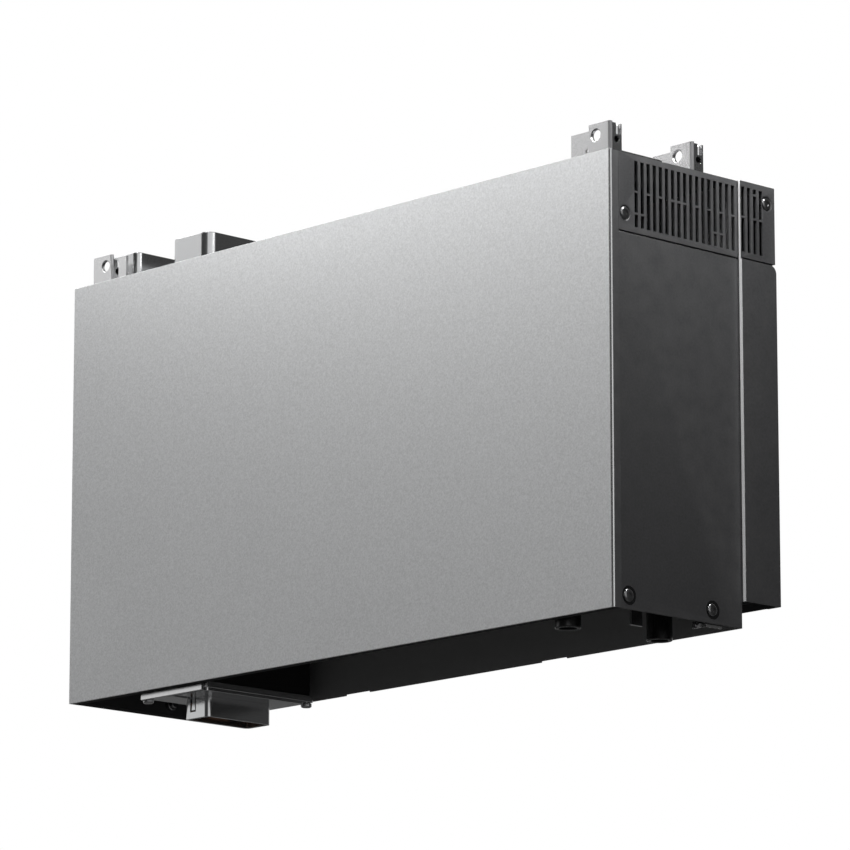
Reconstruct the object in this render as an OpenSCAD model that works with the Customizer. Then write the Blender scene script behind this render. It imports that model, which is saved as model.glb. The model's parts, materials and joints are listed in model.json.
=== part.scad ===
// Home battery module: a flat, wall-hung case that stacks on others of its kind.
// +Z is up and the front faces -Y. The origin is the middle of the wall bolt
// pattern, on the wall. Inside the modules, y runs back from the front face and
// z runs up from the lower edge of the skirt, and hung() moves the result.

/* [Case] */
// Width of the front panel
case_w = 800; // [780:2:860]
// Height of the front panel
case_h = 446.5; // [440:0.5:500]
// Depth of the front block, up to the trim strips
front_d = 176.6; // [170:0.2:200]
// Depth of the rear block behind the trim strips
rear_d = 48.2; // [40:0.2:70]
// Height of the open skirt under the floor
skirt_h = 46; // [40:1:60]
// Height of the rear block's lower edge above the skirt's
rear_z = 26.3; // [20:0.1:32]
// How far the rear block stands out at each side
rear_proud = 4; // [3:0.5:10]

/* [Sheets] */
// Thickness of the front panel
face_t = 2; // [1.5:0.1:3]
// Bevel round the front panel
face_bevel = 0.8; // [0.3:0.1:1.2]
// Thickness of the side panels and covers
sheet_t = 2; // [1.5:0.1:2.5]
// Thickness of the chassis sheets
case_t = 1.5; // [1:0.1:2]
// Depth of the frame behind the front panel
frame_d = 8.5; // [6:0.5:12]
// How far the sides end below the front panel's top edge
side_drop = 1; // [0.5:0.1:2]
// Gap between neighbouring panels
seam = 2; // [0.6:0.2:3]
// Thickness of the trim strips
trim_t = 1.2; // [0.8:0.1:2]
// How far the rear side panels stand out beyond the grille covers
panel_proud = 1.4; // [0.8:0.1:2]
// Radius of the rear side panels' top rear corner
panel_corner_r = 8; // [4:0.5:12]

/* [Grille] */
// Height of the grille covers
grille_h = 77.3; // [76:0.1:86]
// Height of a slot
slot_h = 65.6; // [60:0.1:68]
// Width of a slot
slot_w = 4.7; // [3:0.1:5.5]
// Distance between slots
slot_pitch = 8.46; // [8:0.02:8.6]
// Distance of the first slot behind the front face
slot_start = 32.7; // [28:0.1:33]
// Thickness of the bridges across the slots
bridge_h = 2; // [1:0.1:3]

/* [Screws] */
// Head diameter of the side panel screws
side_head_d = 14; // [12:0.5:15]
// Head diameter of the grille screws
grille_head_d = 12; // [8:0.5:12]
// How much wider a screw well is than its head
well_clear = 4.6; // [2:0.2:5]
// Head diameter of the rear screws
rear_head_d = 6.4; // [5:0.2:9]
// Height of the rear screw heads
rear_head_h = 1.4; // [1:0.1:3]

/* [Stacking brackets] */
// Thickness of the brackets
bracket_t = 3; // [2:0.25:4]
// Distance of the front brackets behind the front face
bracket_y = 4.5; // [3:0.1:6]
// Distance from a front bracket to the rear one
bracket_pitch = 113.5; // [110:0.5:120]
// Height of a bracket above the case
bracket_rise = 30.5; // [28:0.5:40]
// Height of a bracket's lower step above the case
step_rise = 24.5; // [20:0.5:26]
// Width of a bracket's tall face
tall_w = 29; // [27:0.5:32]
// Diameter of the joining hole
joint_d = 11; // [8:0.5:12]
// Height of the joining hole above the case
joint_z = 19; // [18:0.5:20]

/* [Connectors] */
// Distance of the connector shrouds behind the front face
socket_y = 28; // [26:0.5:32]
// Distance of the power shroud from the left end of the case
power_inset = 122.4; // [114:0.2:130]
// Width of the power shroud
power_w = 60.6; // [56:0.2:68]
// Depth of the power shroud from front to back
power_d = 106; // [100:0.5:112]
// Distance of the signal shroud from the left end of the case
signal_inset = 21.3; // [18:0.1:24]
// Width of the signal shroud
signal_w = 48; // [40:0.5:52]
// Depth of the signal shroud from front to back
signal_d = 82; // [70:0.5:90]
// Height of the power shroud above the case
power_rise = 37; // [30:0.5:42]
// Height of the signal shroud above the case
signal_rise = 34.7; // [28:0.5:42]
// Wall of the shrouds
socket_wall = 3; // [2:0.25:4]
// Width of the plug
plug_w = 38; // [32:0.5:42]
// Depth of the plug from front to back
plug_d = 87.6; // [70:0.2:88]
// How far the plug reaches below the skirt
plug_drop = 28.5; // [24:0.5:34]
// Width of the junction box lid
lid_w = 103; // [96:0.5:110]
// Depth of the junction box lid from front to back
lid_d = 150; // [140:0.5:152]

/* [Wall rails] */
// Distance between the wall bolts, side to side
bolt_x = 600; // [500:10:620]
// Distance between the wall bolts, up and down
bolt_z = 190; // [150:5:220]
// Diameter of the wall bolt holes
bolt_d = 9; // [7:0.5:11]
// How far the rails stand off the rear block
rail_d = 12; // [10:0.5:20]

/* [Cells] */
// Room between the cell straps and the end walls
cell_room = 10; // [9:0.5:14]
// Thickness of a cell
cell_t = 46; // [40:0.5:46]
// Length of a cell from its terminals to its rear
cell_d = 142; // [130:1:142]
// Height of a cell as it lies in the case
cell_h = 148; // [130:1:148]
// Thickness of the sheet between two cells
cell_gap = 0.8; // [0.4:0.1:0.8]

/* [Hidden] */
$fn = 48;
eps = 0.5;
half_w = case_w / 2;
side_h = case_h - side_drop;
frame_y = face_t + frame_d;
ledge_y = front_d + trim_t;
case_d = ledge_y + rear_d;
rear_half = half_w + rear_proud;
panel_half = rear_half + panel_proud;
wall_y = case_d + rail_d;
rail_z = [109, 109 + bolt_z];
hang_z = (rail_z[0] + rail_z[1]) / 2;
floor_z = [skirt_h, skirt_h + case_t];
top_z = [side_h - sheet_t, side_h];
inner_x = half_w - sheet_t - case_t;
back_y = [front_d - case_t, front_d];
cover_z = [side_h - grille_h, side_h];
panel_top = cover_z[0] - seam;
panel_clear = 0.3;

// Columns of the grille, counted from the front, that carry each row of bridges
front_slots = 17;
rear_slots = 4;
rear_slot_shift = 1.8;
low_bridges = [1, 2, 14, 15];
mid_bridges = [1, 3, 5, 7, 8, 9, 11, 13, 15, 17, 18, 20, 21];
high_bridges = [20];
slot_z = cover_z[0] + (grille_h - slot_h) / 2;
bridge_rows = [[0.19, low_bridges], [0.52, mid_bridges], [0.89, high_bridges]];

// Screw places, as [y, z]
side_screw_z = 13.2;
side_screws_at = [[20.9, side_screw_z], [135.5, side_screw_z]];
grille_front_screw = [19.8, cover_z[0] + 17.5];
grille_rear_screw = [case_d - 11, cover_z[1] - 17.5];
rear_flange_w = 17;
rear_screw_x = rear_half - 6;
rear_screw_z = [109, 297.5];
rear_cover_screw_z = side_h - 30;

// Connector places, as ranges of x
power_x = [-half_w + power_inset, -half_w + power_inset + power_w];
signal_x = [-half_w + signal_inset, -half_w + signal_inset + signal_w];
power_y = [socket_y, socket_y + power_d];
signal_y = [socket_y, socket_y + signal_d];
power_r = 11.7;
signal_r = 7.5;
plug_side_room = 4.3;
plug_front_room = 9.2;
power_mid = [power_x[1] - socket_wall - plug_side_room - plug_w / 2, (power_y[0] + power_y[1]) / 2];
plug_x = [power_mid[0] - plug_w / 2, power_mid[0] + plug_w / 2];
plug_y = [power_y[0] + socket_wall + plug_front_room, power_y[0] + socket_wall + plug_front_room + plug_d];
plug_r = 6;
plug_wall = 3.5;
socket_floor_z = side_h - plug_drop - 4 - socket_wall;
signal_floor_z = side_h - 16 - socket_wall;

lid_x = [power_mid[0] - 6.7 - lid_w / 2, power_mid[0] - 6.7 + lid_w / 2];
lid_y = [14, 14 + lid_d];
lid_z = [-4, 2.6];
lid_r = 3.8;
lid_t = 2;
flange_z = [lid_z[0] - 3.3, lid_z[0]];
knob_d = 11.5;
knob_drop = 5.5;
knob_inset = 6;

// Moves what is drawn from the front lower edge to the wall bolt pattern.
module hung() translate([0, -wall_y, -hang_z]) children();

// A box given by its ranges of x, y and z.
module block(x, y, z)
    translate([x[0], y[0], z[0]]) cube([x[1] - x[0], y[1] - y[0], z[1] - z[0]]);

// A flat outline of the given ranges with round corners.
module rounded(x, y, r) {
    translate([x[0] + r, y[0]]) square([x[1] - x[0] - 2 * r, y[1] - y[0]]);
    translate([x[0], y[0] + r]) square([x[1] - x[0], y[1] - y[0] - 2 * r]);
    for (cx = [x[0] + r, x[1] - r], cy = [y[0] + r, y[1] - r]) translate([cx, cy]) circle(r = r);
}

// A box with round upright corners.
module post(x, y, z, r)
    translate([0, 0, z[0]]) linear_extrude(z[1] - z[0]) rounded(x, y, r);

// Cylinders along each axis, from one place to another.
module rod_x(x, y, z, d) translate([x[0], y, z]) rotate([0, 90, 0]) cylinder(h = x[1] - x[0], d = d);
module rod_y(x, y, z, d) translate([x, y[0], z]) rotate([-90, 0, 0]) cylinder(h = y[1] - y[0], d = d);
module rod_z(x, y, z, d) translate([x, y, z[0]]) cylinder(h = z[1] - z[0], d = d);

// An outline in x and y, drawn up through a range of z.
module upright(z, points) translate([0, 0, z[0]]) linear_extrude(z[1] - z[0]) polygon(points);

// An outline in x and z, drawn back through a range of y.
module along_y(y, points)
    translate([0, y[1], 0]) rotate([90, 0, 0]) linear_extrude(y[1] - y[0]) polygon(points);

// The same shape on the left.
module left_hand() mirror([1, 0, 0]) children();

/* Front */

module front_panel() color("silver") hung() intersection() {
    upright([0, case_h], [
        [-half_w, face_bevel], [-half_w + face_bevel, 0], [half_w - face_bevel, 0],
        [half_w, face_bevel], [half_w, face_t], [-half_w, face_t]
    ]);
    translate([-half_w, 0, 0]) rotate([90, 0, 90]) linear_extrude(case_w) polygon([
        [face_bevel, 0], [0, face_bevel], [0, case_h - face_bevel],
        [face_bevel, case_h], [face_t, case_h], [face_t, 0]
    ]);
}

frame_lip = 14;

module front_frame() color("dimgray") hung() difference() {
    block([-half_w, half_w], [face_t, frame_y], [0, side_h]);
    block([-half_w + frame_lip, half_w - frame_lip], [face_t - eps, frame_y + eps],
          [frame_lip, side_h - frame_lip]);
    block([-half_w + sheet_t, half_w - sheet_t], [face_t + case_t, frame_y + eps],
          [sheet_t, side_h - sheet_t]);
}

/* Chassis */

notch_w = 36;
notch_h = 1.4;
notch_x = 144;
vent_y = [slot_start - 4, front_d - case_t - 2];
vent_z = [cover_z[0] + 3, cover_z[1] - 5];

module chassis_back() color("dimgray") hung() difference() {
    block([-inner_x - case_t, inner_x + case_t], back_y, [0, top_z[0]]);
    for (side = [-1, 1])
        block([side * notch_x - notch_w / 2, side * notch_x + notch_w / 2],
              [back_y[0] - eps, back_y[1] + eps], [-eps, notch_h]);
    for (side = [-1, 1])
        block([side * inner_x / 2 - 60, side * inner_x / 2 + 60],
              [back_y[0] - eps, back_y[1] + eps], vent_z);
}

lip_back = face_t + case_t;

module chassis_floor() color("dimgray") hung() {
    block([-inner_x, inner_x], [lip_back, back_y[0]], floor_z);
    block([-half_w + frame_lip, half_w - frame_lip], [face_t, lip_back], [floor_z[0], floor_z[1] + 14]);
}

module end_wall() difference() {
    block([inner_x, inner_x + case_t], [lip_back, back_y[0]], [sheet_t, top_z[0]]);
    block([inner_x - eps, inner_x + case_t + eps], vent_y, vent_z);
    for (place = side_screws_at) rod_x([inner_x - eps, inner_x + case_t + eps], place[0], place[1], 9);
    rod_x([inner_x - eps, inner_x + case_t + eps], grille_front_screw[0], grille_front_screw[1], 7);
}

module right_end_wall() color("dimgray") hung() end_wall();
module left_end_wall() color("dimgray") hung() left_hand() end_wall();

module top_plate() color("dimgray") hung() difference() {
    block([-inner_x - case_t, inner_x + case_t], [frame_y, front_d], top_z);
    post([power_x[0] - panel_clear, power_x[1] + panel_clear],
         [power_y[0] - panel_clear, power_y[1] + panel_clear], [top_z[0] - eps, top_z[1] + eps], power_r);
    post([signal_x[0] - panel_clear, signal_x[1] + panel_clear],
         [signal_y[0] - panel_clear, signal_y[1] + panel_clear], [top_z[0] - eps, top_z[1] + eps], signal_r);
}

nut_d = 12;
nut_h = 6;

module weld_nuts() color("silver") hung() for (side = [-1, 1], place = side_screws_at)
    difference() {
        rod_x([min(side * inner_x, side * (inner_x - nut_h)), max(side * inner_x, side * (inner_x - nut_h))],
              place[0], place[1], nut_d);
        rod_x([-half_w, half_w], place[0], place[1], 8.2);
    }

/* Side panels */

// A conical well for a screw head on the outer face x = face_x, with its hole.
module screw_well(face_x, place, head_d, hole_d) {
    well_d = head_d + well_clear;
    depth = sheet_t * 0.6;
    translate([face_x - depth, place[0], place[1]]) rotate([0, 90, 0])
        cylinder(h = depth + 0.01, d1 = head_d + 0.6, d2 = well_d);
    rod_x([face_x - sheet_t - eps, face_x], place[0], place[1], hole_d);
}

module side_panel() difference() {
    block([half_w - sheet_t, half_w], [frame_y, front_d], [0, panel_top]);
    for (place = side_screws_at) screw_well(half_w, place, side_head_d, 9);
}

module right_side_panel() color("dimgray") hung() side_panel();
module left_side_panel() color("dimgray") hung() left_hand() side_panel();

function slot_y(i) = slot_start + i * slot_pitch + (i < front_slots ? 0 : rear_slot_shift);

// The cut of one grille column, broken by its bridges.
module grille_slot(column) difference() {
    y = slot_y(column - 1);
    block([half_w - 3 * sheet_t, panel_half], [y, y + slot_w], [slot_z, slot_z + slot_h]);
    for (row = bridge_rows) if (len(search(column, row[1])) > 0)
        block([half_w - 4 * sheet_t, panel_half + eps], [y - eps, y + slot_w + eps],
              [slot_z + row[0] * slot_h, slot_z + row[0] * slot_h + bridge_h]);
}

grille_corner_r = 4;

module grille_cover() difference() {
    upright(cover_z, [
        [half_w - sheet_t, frame_y + panel_clear], [half_w, frame_y + panel_clear], [half_w, ledge_y],
        [rear_half, ledge_y], [rear_half, case_d], [rear_half - rear_flange_w, case_d],
        [rear_half - rear_flange_w, case_d - sheet_t], [rear_half - sheet_t, case_d - sheet_t],
        [rear_half - sheet_t, ledge_y + sheet_t], [half_w - sheet_t, ledge_y + sheet_t]
    ]);
    for (column = [1 : front_slots + rear_slots]) grille_slot(column);
    screw_well(half_w, grille_front_screw, grille_head_d, 7);
    screw_well(rear_half, grille_rear_screw, grille_head_d, 7);
    rod_y(rear_screw_x, [case_d - sheet_t - eps, case_d + eps], rear_cover_screw_z, 3.6);
}

module right_grille_cover() color("dimgray") hung() grille_cover();
module left_grille_cover() color("dimgray") hung() left_hand() grille_cover();

module rear_panel() difference() {
    upright([rear_z, panel_top], [
        [half_w, ledge_y], [panel_half, ledge_y], [panel_half, case_d],
        [panel_half - rear_flange_w, case_d], [panel_half - rear_flange_w, case_d - sheet_t],
        [panel_half - sheet_t, case_d - sheet_t], [panel_half - sheet_t, ledge_y + sheet_t],
        [half_w, ledge_y + sheet_t]
    ]);
    difference() {
        block([half_w - eps, panel_half + eps], [case_d - panel_corner_r, case_d + eps],
              [panel_top - panel_corner_r, panel_top + eps]);
        rod_x([half_w - 2 * eps, panel_half + 2 * eps], case_d - panel_corner_r, panel_top - panel_corner_r,
              2 * panel_corner_r);
    }
    for (z = rear_screw_z) rod_y(rear_screw_x, [case_d - sheet_t - eps, case_d + eps], z, 3.6);
}

module right_rear_panel() color("dimgray") hung() rear_panel();
module left_rear_panel() color("dimgray") hung() left_hand() rear_panel();

module trim_strip() {
    block([half_w, rear_half], [front_d, ledge_y], [rear_z, side_h]);
    block([rear_half - eps, panel_half], [front_d, ledge_y], [rear_z, panel_top]);
}

module right_trim_strip() color("gainsboro") hung() trim_strip();
module left_trim_strip() color("gainsboro") hung() left_hand() trim_strip();

/* Rear block */

cover_y = case_d - sheet_t;

module rear_cover() color("dimgray") hung() difference() {
    union() {
        block([-rear_half + sheet_t, rear_half - sheet_t], [cover_y - case_t, cover_y], [rear_z, side_h]);
        block([-rear_half + sheet_t, rear_half - sheet_t], [ledge_y + sheet_t, cover_y - case_t + eps],
              [side_h - case_t, side_h]);
        block([-half_w + sheet_t, half_w - sheet_t], [front_d, cover_y - case_t + eps],
              [side_h - case_t, side_h]);
    }
    for (side = [-1, 1], z = concat(rear_screw_z, [rear_cover_screw_z]))
        rod_y(side * rear_screw_x, [cover_y - case_t - eps, cover_y + eps], z, 3);
}

screen_z = [rear_z + 8, rear_z + 9.5];
screen_slots = 18;
screen_rows = 3;
screen_slot = [30, 7];

module intake_screen() color("dimgray") hung() difference() {
    x_room = 2 * half_w;
    y_room = cover_y - case_t - front_d;
    block([-half_w, half_w], [front_d, cover_y - case_t], screen_z);
    for (i = [0 : screen_slots - 1], j = [0 : screen_rows - 1])
        translate([(i + 0.5 - screen_slots / 2) * x_room / screen_slots,
                   front_d + (j + 0.5) * y_room / screen_rows, 0])
            block([-screen_slot[0] / 2, screen_slot[0] / 2], [-screen_slot[1] / 2, screen_slot[1] / 2],
                  [screen_z[0] - eps, screen_z[1] + eps]);
}

rail_room = 7;
rail_half = rear_half - rear_flange_w - rail_room;
rail_h = 40;
rail_flange = 14;

// A hat rail: two flanges on the rear cover and a web on the wall.
module wall_rail() difference() {
    translate([-rail_half, 0, 0]) rotate([90, 0, 90]) linear_extrude(2 * rail_half) polygon([
        [cover_y, -rail_h / 2 - rail_flange], [cover_y + sheet_t, -rail_h / 2 - rail_flange],
        [cover_y + sheet_t, -rail_h / 2 - sheet_t], [wall_y, -rail_h / 2 - sheet_t],
        [wall_y, rail_h / 2 + sheet_t], [cover_y + sheet_t, rail_h / 2 + sheet_t],
        [cover_y + sheet_t, rail_h / 2 + rail_flange],
        [cover_y, rail_h / 2 + rail_flange], [cover_y, rail_h / 2], [wall_y - sheet_t, rail_h / 2],
        [wall_y - sheet_t, -rail_h / 2], [cover_y, -rail_h / 2]
    ]);
    for (side = [-1, 1]) rod_y(side * bolt_x / 2, [wall_y - sheet_t - eps, wall_y + eps], 0, bolt_d);
}

module wall_rails() color("silver") hung() for (z = rail_z) translate([0, 0, z]) wall_rail();

fin_count = 31;
fin_t = 2;
fin_base_t = 4;
fin_reach = 34;
fin_room = 24.5;
fin_half = inner_x - fin_room;
fin_z = [62, panel_top - 8];

module cooling_fins() color("lightgray") hung() {
    block([-fin_half, fin_half], [front_d, front_d + fin_base_t], fin_z);
    for (i = [0 : fin_count - 1]) {
        x = -fin_half + fin_t / 2 + i * (2 * fin_half - fin_t) / (fin_count - 1);
        block([x - fin_t / 2, x + fin_t / 2], [front_d + fin_base_t - eps, front_d + fin_reach], fin_z);
    }
}

/* Stacking brackets */

step_w = 24;
web_d = 15.9;
web_slot = [8, 14];
web_slot_z = 18;
web_hole_d = 7;
web_hole = [9, 13];
foot_z = [side_h, side_h + bracket_t];
right_inset = 4.5;
left_inset = 25.7;
step_hole_d = 4;
hole_from_step = 9.4;
nib_r = 0.9;
front_foot_d = 77;
foot_w = 20;
foot_screw_d = 4.3;
foot_screw_y = 67.5;
foot_r = 7.5;

// The upright web of a bracket, with its open slot and round hole.
module bracket_web(x, rise) difference() {
    block([x, x + bracket_t], [bracket_y, bracket_y + web_d], [side_h, side_h + rise]);
    block([x - eps, x + bracket_t + eps], [bracket_y + web_slot[0], bracket_y + web_slot[1]],
          [side_h + web_slot_z, side_h + rise + eps]);
    rod_x([x - eps, x + bracket_t + eps], bracket_y + web_hole[0], side_h + web_hole[1], web_hole_d);
}

// The joining hole at x, with a bevel on its front.
module joint_hole(x) {
    rod_y(x, [bracket_y - eps, bracket_y + bracket_t + eps], side_h + joint_z, joint_d);
    translate([x, bracket_y - 0.01, side_h + joint_z]) rotate([-90, 0, 0])
        cylinder(h = 0.8, d1 = joint_d + 2.4, d2 = joint_d);
}

// The outline of a foot that ends in a rounded edge.
function long_foot(x0, x1, y0, y1) = concat(
    [[x0, y0], [x1, y0]],
    [for (a = [0 : 15 : 90]) [x1 - foot_r + foot_r * cos(a), y1 - foot_r + foot_r * sin(a)]],
    [for (a = [90 : 15 : 180]) [x0 + foot_r + foot_r * cos(a), y1 - foot_r + foot_r * sin(a)]]
);

module right_bracket(foot_d) {
    x1 = half_w - right_inset;
    x0 = x1 - tall_w;
    difference() {
        along_y([bracket_y, bracket_y + bracket_t], [
            [x0 - step_w, side_h], [x1, side_h], [x1, side_h + bracket_rise],
            [x0, side_h + bracket_rise], [x0, side_h + step_rise], [x0 - step_w, side_h + step_rise]
        ]);
        joint_hole(x0 + hole_from_step);
        rod_y(x0 - 2.5, [bracket_y - eps, bracket_y + bracket_t + eps], side_h + 5.7, step_hole_d);
        for (nib = [[x1 - 11.1, bracket_rise], [x0 - step_w + 5.9, step_rise]])
            rod_y(nib[0], [bracket_y - eps, bracket_y + bracket_t + eps], side_h + nib[1] + 0.2, 2 * nib_r);
    }
    bracket_web(x1 - bracket_t, bracket_rise - 1.5);
    block([x0 - step_w, x1], [bracket_y, bracket_y + web_d], foot_z);
    if (foot_d > web_d) difference() {
        upright(foot_z, long_foot(x1 - foot_w, x1, bracket_y + web_d - 1, bracket_y + foot_d));
        rod_z(x1 - foot_w / 2, bracket_y + foot_screw_y, [foot_z[0] - eps, foot_z[1] + eps], foot_screw_d);
    }
}

tab_gap = 11.7;
tab_w = 12.3;
left_web_drop = 5;

module left_bracket() {
    x0 = -half_w + left_inset;
    x1 = x0 + tall_w;
    difference() {
        union() {
            block([x0, x1], [bracket_y, bracket_y + bracket_t], [side_h, side_h + bracket_rise]);
            block([x1 + tab_gap, x1 + tab_gap + tab_w], [bracket_y, bracket_y + bracket_t],
                  [side_h, side_h + step_rise]);
        }
        joint_hole(x1 - hole_from_step);
    }
    bracket_web(x1 - bracket_t, bracket_rise - left_web_drop);
    block([x0, x1 + tab_gap + tab_w], [bracket_y, bracket_y + web_d], foot_z);
}

module right_front_bracket() color("silver") hung() right_bracket(front_foot_d);
module right_rear_bracket() color("silver") hung() translate([0, bracket_pitch, 0]) right_bracket(web_d);
module left_front_bracket() color("silver") hung() left_bracket();
module left_rear_bracket() color("silver") hung() translate([0, bracket_pitch, 0]) left_bracket();

module bracket_screws() color("silver") hung()
    translate([half_w - right_inset - foot_w / 2, bracket_y + foot_screw_y, 0]) {
        rod_z(0, 0, foot_z, foot_screw_d - 0.4);
        rod_z(0, 0, [foot_z[1], foot_z[1] + 2.2], 8);
    }

/* Connectors on top */

// An open shroud with a floor, standing up through the top plate.
module socket(x, y, z, r) difference() {
    post(x, y, z, r);
    post([x[0] + socket_wall, x[1] - socket_wall], [y[0] + socket_wall, y[1] - socket_wall],
         [z[0] + socket_wall, z[1] + eps], r - socket_wall);
}

power_top = side_h + power_rise;
signal_top = side_h + signal_rise;

module power_socket() color("gray") hung()
    socket(power_x, power_y, [socket_floor_z, power_top], power_r);
module signal_socket() color("gray") hung()
    socket(signal_x, signal_y, [signal_floor_z, signal_top], signal_r);

blade = [3, 24, 12];

module power_contacts() color("peru") hung() for (side = [-1, 1])
    block([power_mid[0] - blade[0] / 2, power_mid[0] + blade[0] / 2],
          [power_mid[1] + side * 20 - blade[1] / 2, power_mid[1] + side * 20 + blade[1] / 2],
          [socket_floor_z + socket_wall, socket_floor_z + socket_wall + blade[2]]);

pin_d = 2.4;

module signal_pins() color("peru") hung() for (i = [0 : 1], j = [-2 : 2])
    rod_z(signal_x[0] + 18 + 12 * i, (signal_y[0] + signal_y[1]) / 2 + 10 * j,
          [signal_floor_z + socket_wall, signal_floor_z + socket_wall + 10], pin_d);

/* Connectors underneath */

module junction_box() color("dimgray") hung()
    post([lid_x[0] + lid_t + panel_clear, lid_x[1] - lid_t - panel_clear],
         [lid_y[0] + lid_t + panel_clear, lid_y[1] - lid_t - panel_clear],
         [lid_z[0] + lid_t, skirt_h], lid_r);

module junction_lid() color("silver") hung() difference() {
    post(lid_x, lid_y, lid_z, lid_r);
    post([lid_x[0] + lid_t, lid_x[1] - lid_t], [lid_y[0] + lid_t, lid_y[1] - lid_t],
         [lid_z[0] + lid_t, lid_z[1] + eps], lid_r - lid_t / 2);
}

window_w = 8.6;
window_x = [plug_x[0] + 9.6, plug_x[0] + 9.6 + window_w];
window_h = 14;

module plug_flange() color("silver") hung() difference() {
    post([plug_x[0] - 0.5, lid_x[1] - 0.2], [lid_y[0] + 2, lid_y[1] - 14], flange_z, 3);
    block([window_x[0] - 0.6, window_x[1] + 0.6], [lid_y[0], plug_y[0] + 1],
          [flange_z[0] - eps, flange_z[1] - 1]);
}

module plug_housing() color("silver") hung() difference() {
    post(plug_x, plug_y, [-plug_drop, flange_z[0]], plug_r);
    post([plug_x[0] + plug_wall, plug_x[1] - plug_wall], [plug_y[0] + plug_wall, plug_y[1] - plug_wall],
         [-plug_drop - eps, flange_z[0] - plug_wall], plug_r - plug_wall);
    block(window_x, [plug_y[0] - eps, plug_y[0] + plug_wall + eps],
          [flange_z[0] - window_h, flange_z[0] + eps]);
}

module plug_latch() color("silver") hung() {
    mid = (window_x[0] + window_x[1]) / 2;
    y = [plug_y[0] + 0.6, plug_y[0] + 2.6];
    along_y(y, [
        [mid - 3, flange_z[0] - window_h + 1.5], [mid + 3, flange_z[0] - window_h + 1.5],
        [mid + 1.6, flange_z[0]], [mid - 1.6, flange_z[0]]
    ]);
}

module plug_contacts() color("peru") hung() for (side = [-1, 1], leaf = [-1, 1])
    block([power_mid[0] + leaf * 3.5 - 1, power_mid[0] + leaf * 3.5 + 1],
          [power_mid[1] + side * 20 - blade[1] / 2, power_mid[1] + side * 20 + blade[1] / 2],
          [-plug_drop + 9, flange_z[0] - plug_wall]);

module lid_knobs() color("silver") hung() {
    left = lid_x[0] + knob_inset;
    right = lid_x[1] - knob_inset;
    rear = lid_y[1] - knob_inset;
    for (place = [[left, lid_y[0] + knob_inset], [left, rear], [right, rear]])
        rod_z(place[0], place[1], [lid_z[0] - knob_drop, lid_z[0]], knob_d);
}

cup_d = 25.4;
cup_wall = 4;
cup_drop = 7.7;
cup_bore_h = 20;

module guide_cups() color("dimgray") hung()
    for (place = [[half_w - 85, 24], [half_w - 73.2, 24 + bracket_pitch]]) difference() {
        rod_z(place[0], place[1], [-cup_drop, skirt_h], cup_d);
        rod_z(place[0], place[1], [-cup_drop - eps, -cup_drop + cup_bore_h], cup_d - 2 * cup_wall);
    }

hook_x = half_w - 57.5;

module latch_hook() color("silver") hung() {
    block([hook_x, hook_x + bracket_t], [80, 95], [-1, skirt_h]);
    block([hook_x, hook_x + 16], [80, 95], [skirt_h - bracket_t, skirt_h]);
}

lug_y = [130, 132];

module earth_lug() color("silver") hung() difference() {
    union() {
        block([inner_x - 2, inner_x], [lug_y[0], lug_y[1] + 20], [-3, 4]);
        block([inner_x - 19, inner_x], lug_y, [-3, 4]);
    }
    rod_y(inner_x - 10, [lug_y[0] - eps, lug_y[1] + eps], 0.5, 4.4);
}

module earth_screw() color("dimgray") hung() {
    rod_y(inner_x - 10, [lug_y[0], lug_y[1] + 6], 0.5, 4);
    rod_y(inner_x - 10, [lug_y[0] - 3, lug_y[0]], 0.5, 7);
}

/* Screws */

// A low domed head on the face x = seat_x, pointing out, with its shank.
module button_screw(seat_x, place, head_d, head_h, shank_d, shank_l, key_d)
    translate([seat_x, place[0], place[1]]) rotate([0, 90, 0]) difference() {
        union() {
            rotate_extrude() polygon(concat(
                [[0, 0], [head_d / 2, 0]],
                [for (a = [0 : 25 : 75]) [
                    head_d / 2 * cos(a) * 0.35 + head_d / 2 * 0.65, head_h * 0.3 + head_h * 0.7 * sin(a)
                ]],
                [[0, head_h]]
            ));
            translate([0, 0, -shank_l]) cylinder(h = shank_l, d = shank_d);
        }
        translate([0, 0, head_h * 0.35]) cylinder(h = head_h, d = key_d, $fn = 6);
    }

module side_screws() color("silver") hung() for (side = [0, 1]) mirror([side, 0, 0])
    for (place = side_screws_at)
        button_screw(half_w - sheet_t * 0.6, place, side_head_d, 2.2, 8, 12, 6);

module grille_screws() color("silver") hung() for (side = [0, 1]) mirror([side, 0, 0]) {
    button_screw(half_w - sheet_t * 0.6, grille_front_screw, grille_head_d, 2, 6, 8, 5);
    button_screw(rear_half - sheet_t * 0.6, grille_rear_screw, grille_head_d, 2, 6, 8, 5);
}

module rear_screws() color("silver") hung()
    for (side = [-1, 1], z = concat(rear_screw_z, [rear_cover_screw_z])) {
        rod_y(side * rear_screw_x, [case_d, case_d + rear_head_h], z, rear_head_d);
        rod_y(side * rear_screw_x, [case_d - 6, case_d], z, 2.9);
    }

/* Cells */

end_plate_t = 10;
strap_t = 1;
cell_pitch = cell_t + cell_gap;
cell_count = floor(2 * (inner_x - cell_room - strap_t - end_plate_t) / cell_pitch);
row_half = cell_count * cell_pitch / 2;
pad_z = [floor_z[1], floor_z[1] + 2.5];
shelf_t = 6;
row_z = [pad_z[1], pad_z[1] + cell_h + shelf_t];
stack_z = [row_z[0], row_z[1] + cell_h];
cell_y = [back_y[0] - 3 - cell_d, back_y[0] - 3];
terminal = [18, 2.5, 20];
terminal_z = [0.22, 0.78];

function cell_x(i) = -row_half + cell_gap / 2 + i * cell_pitch;

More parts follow.
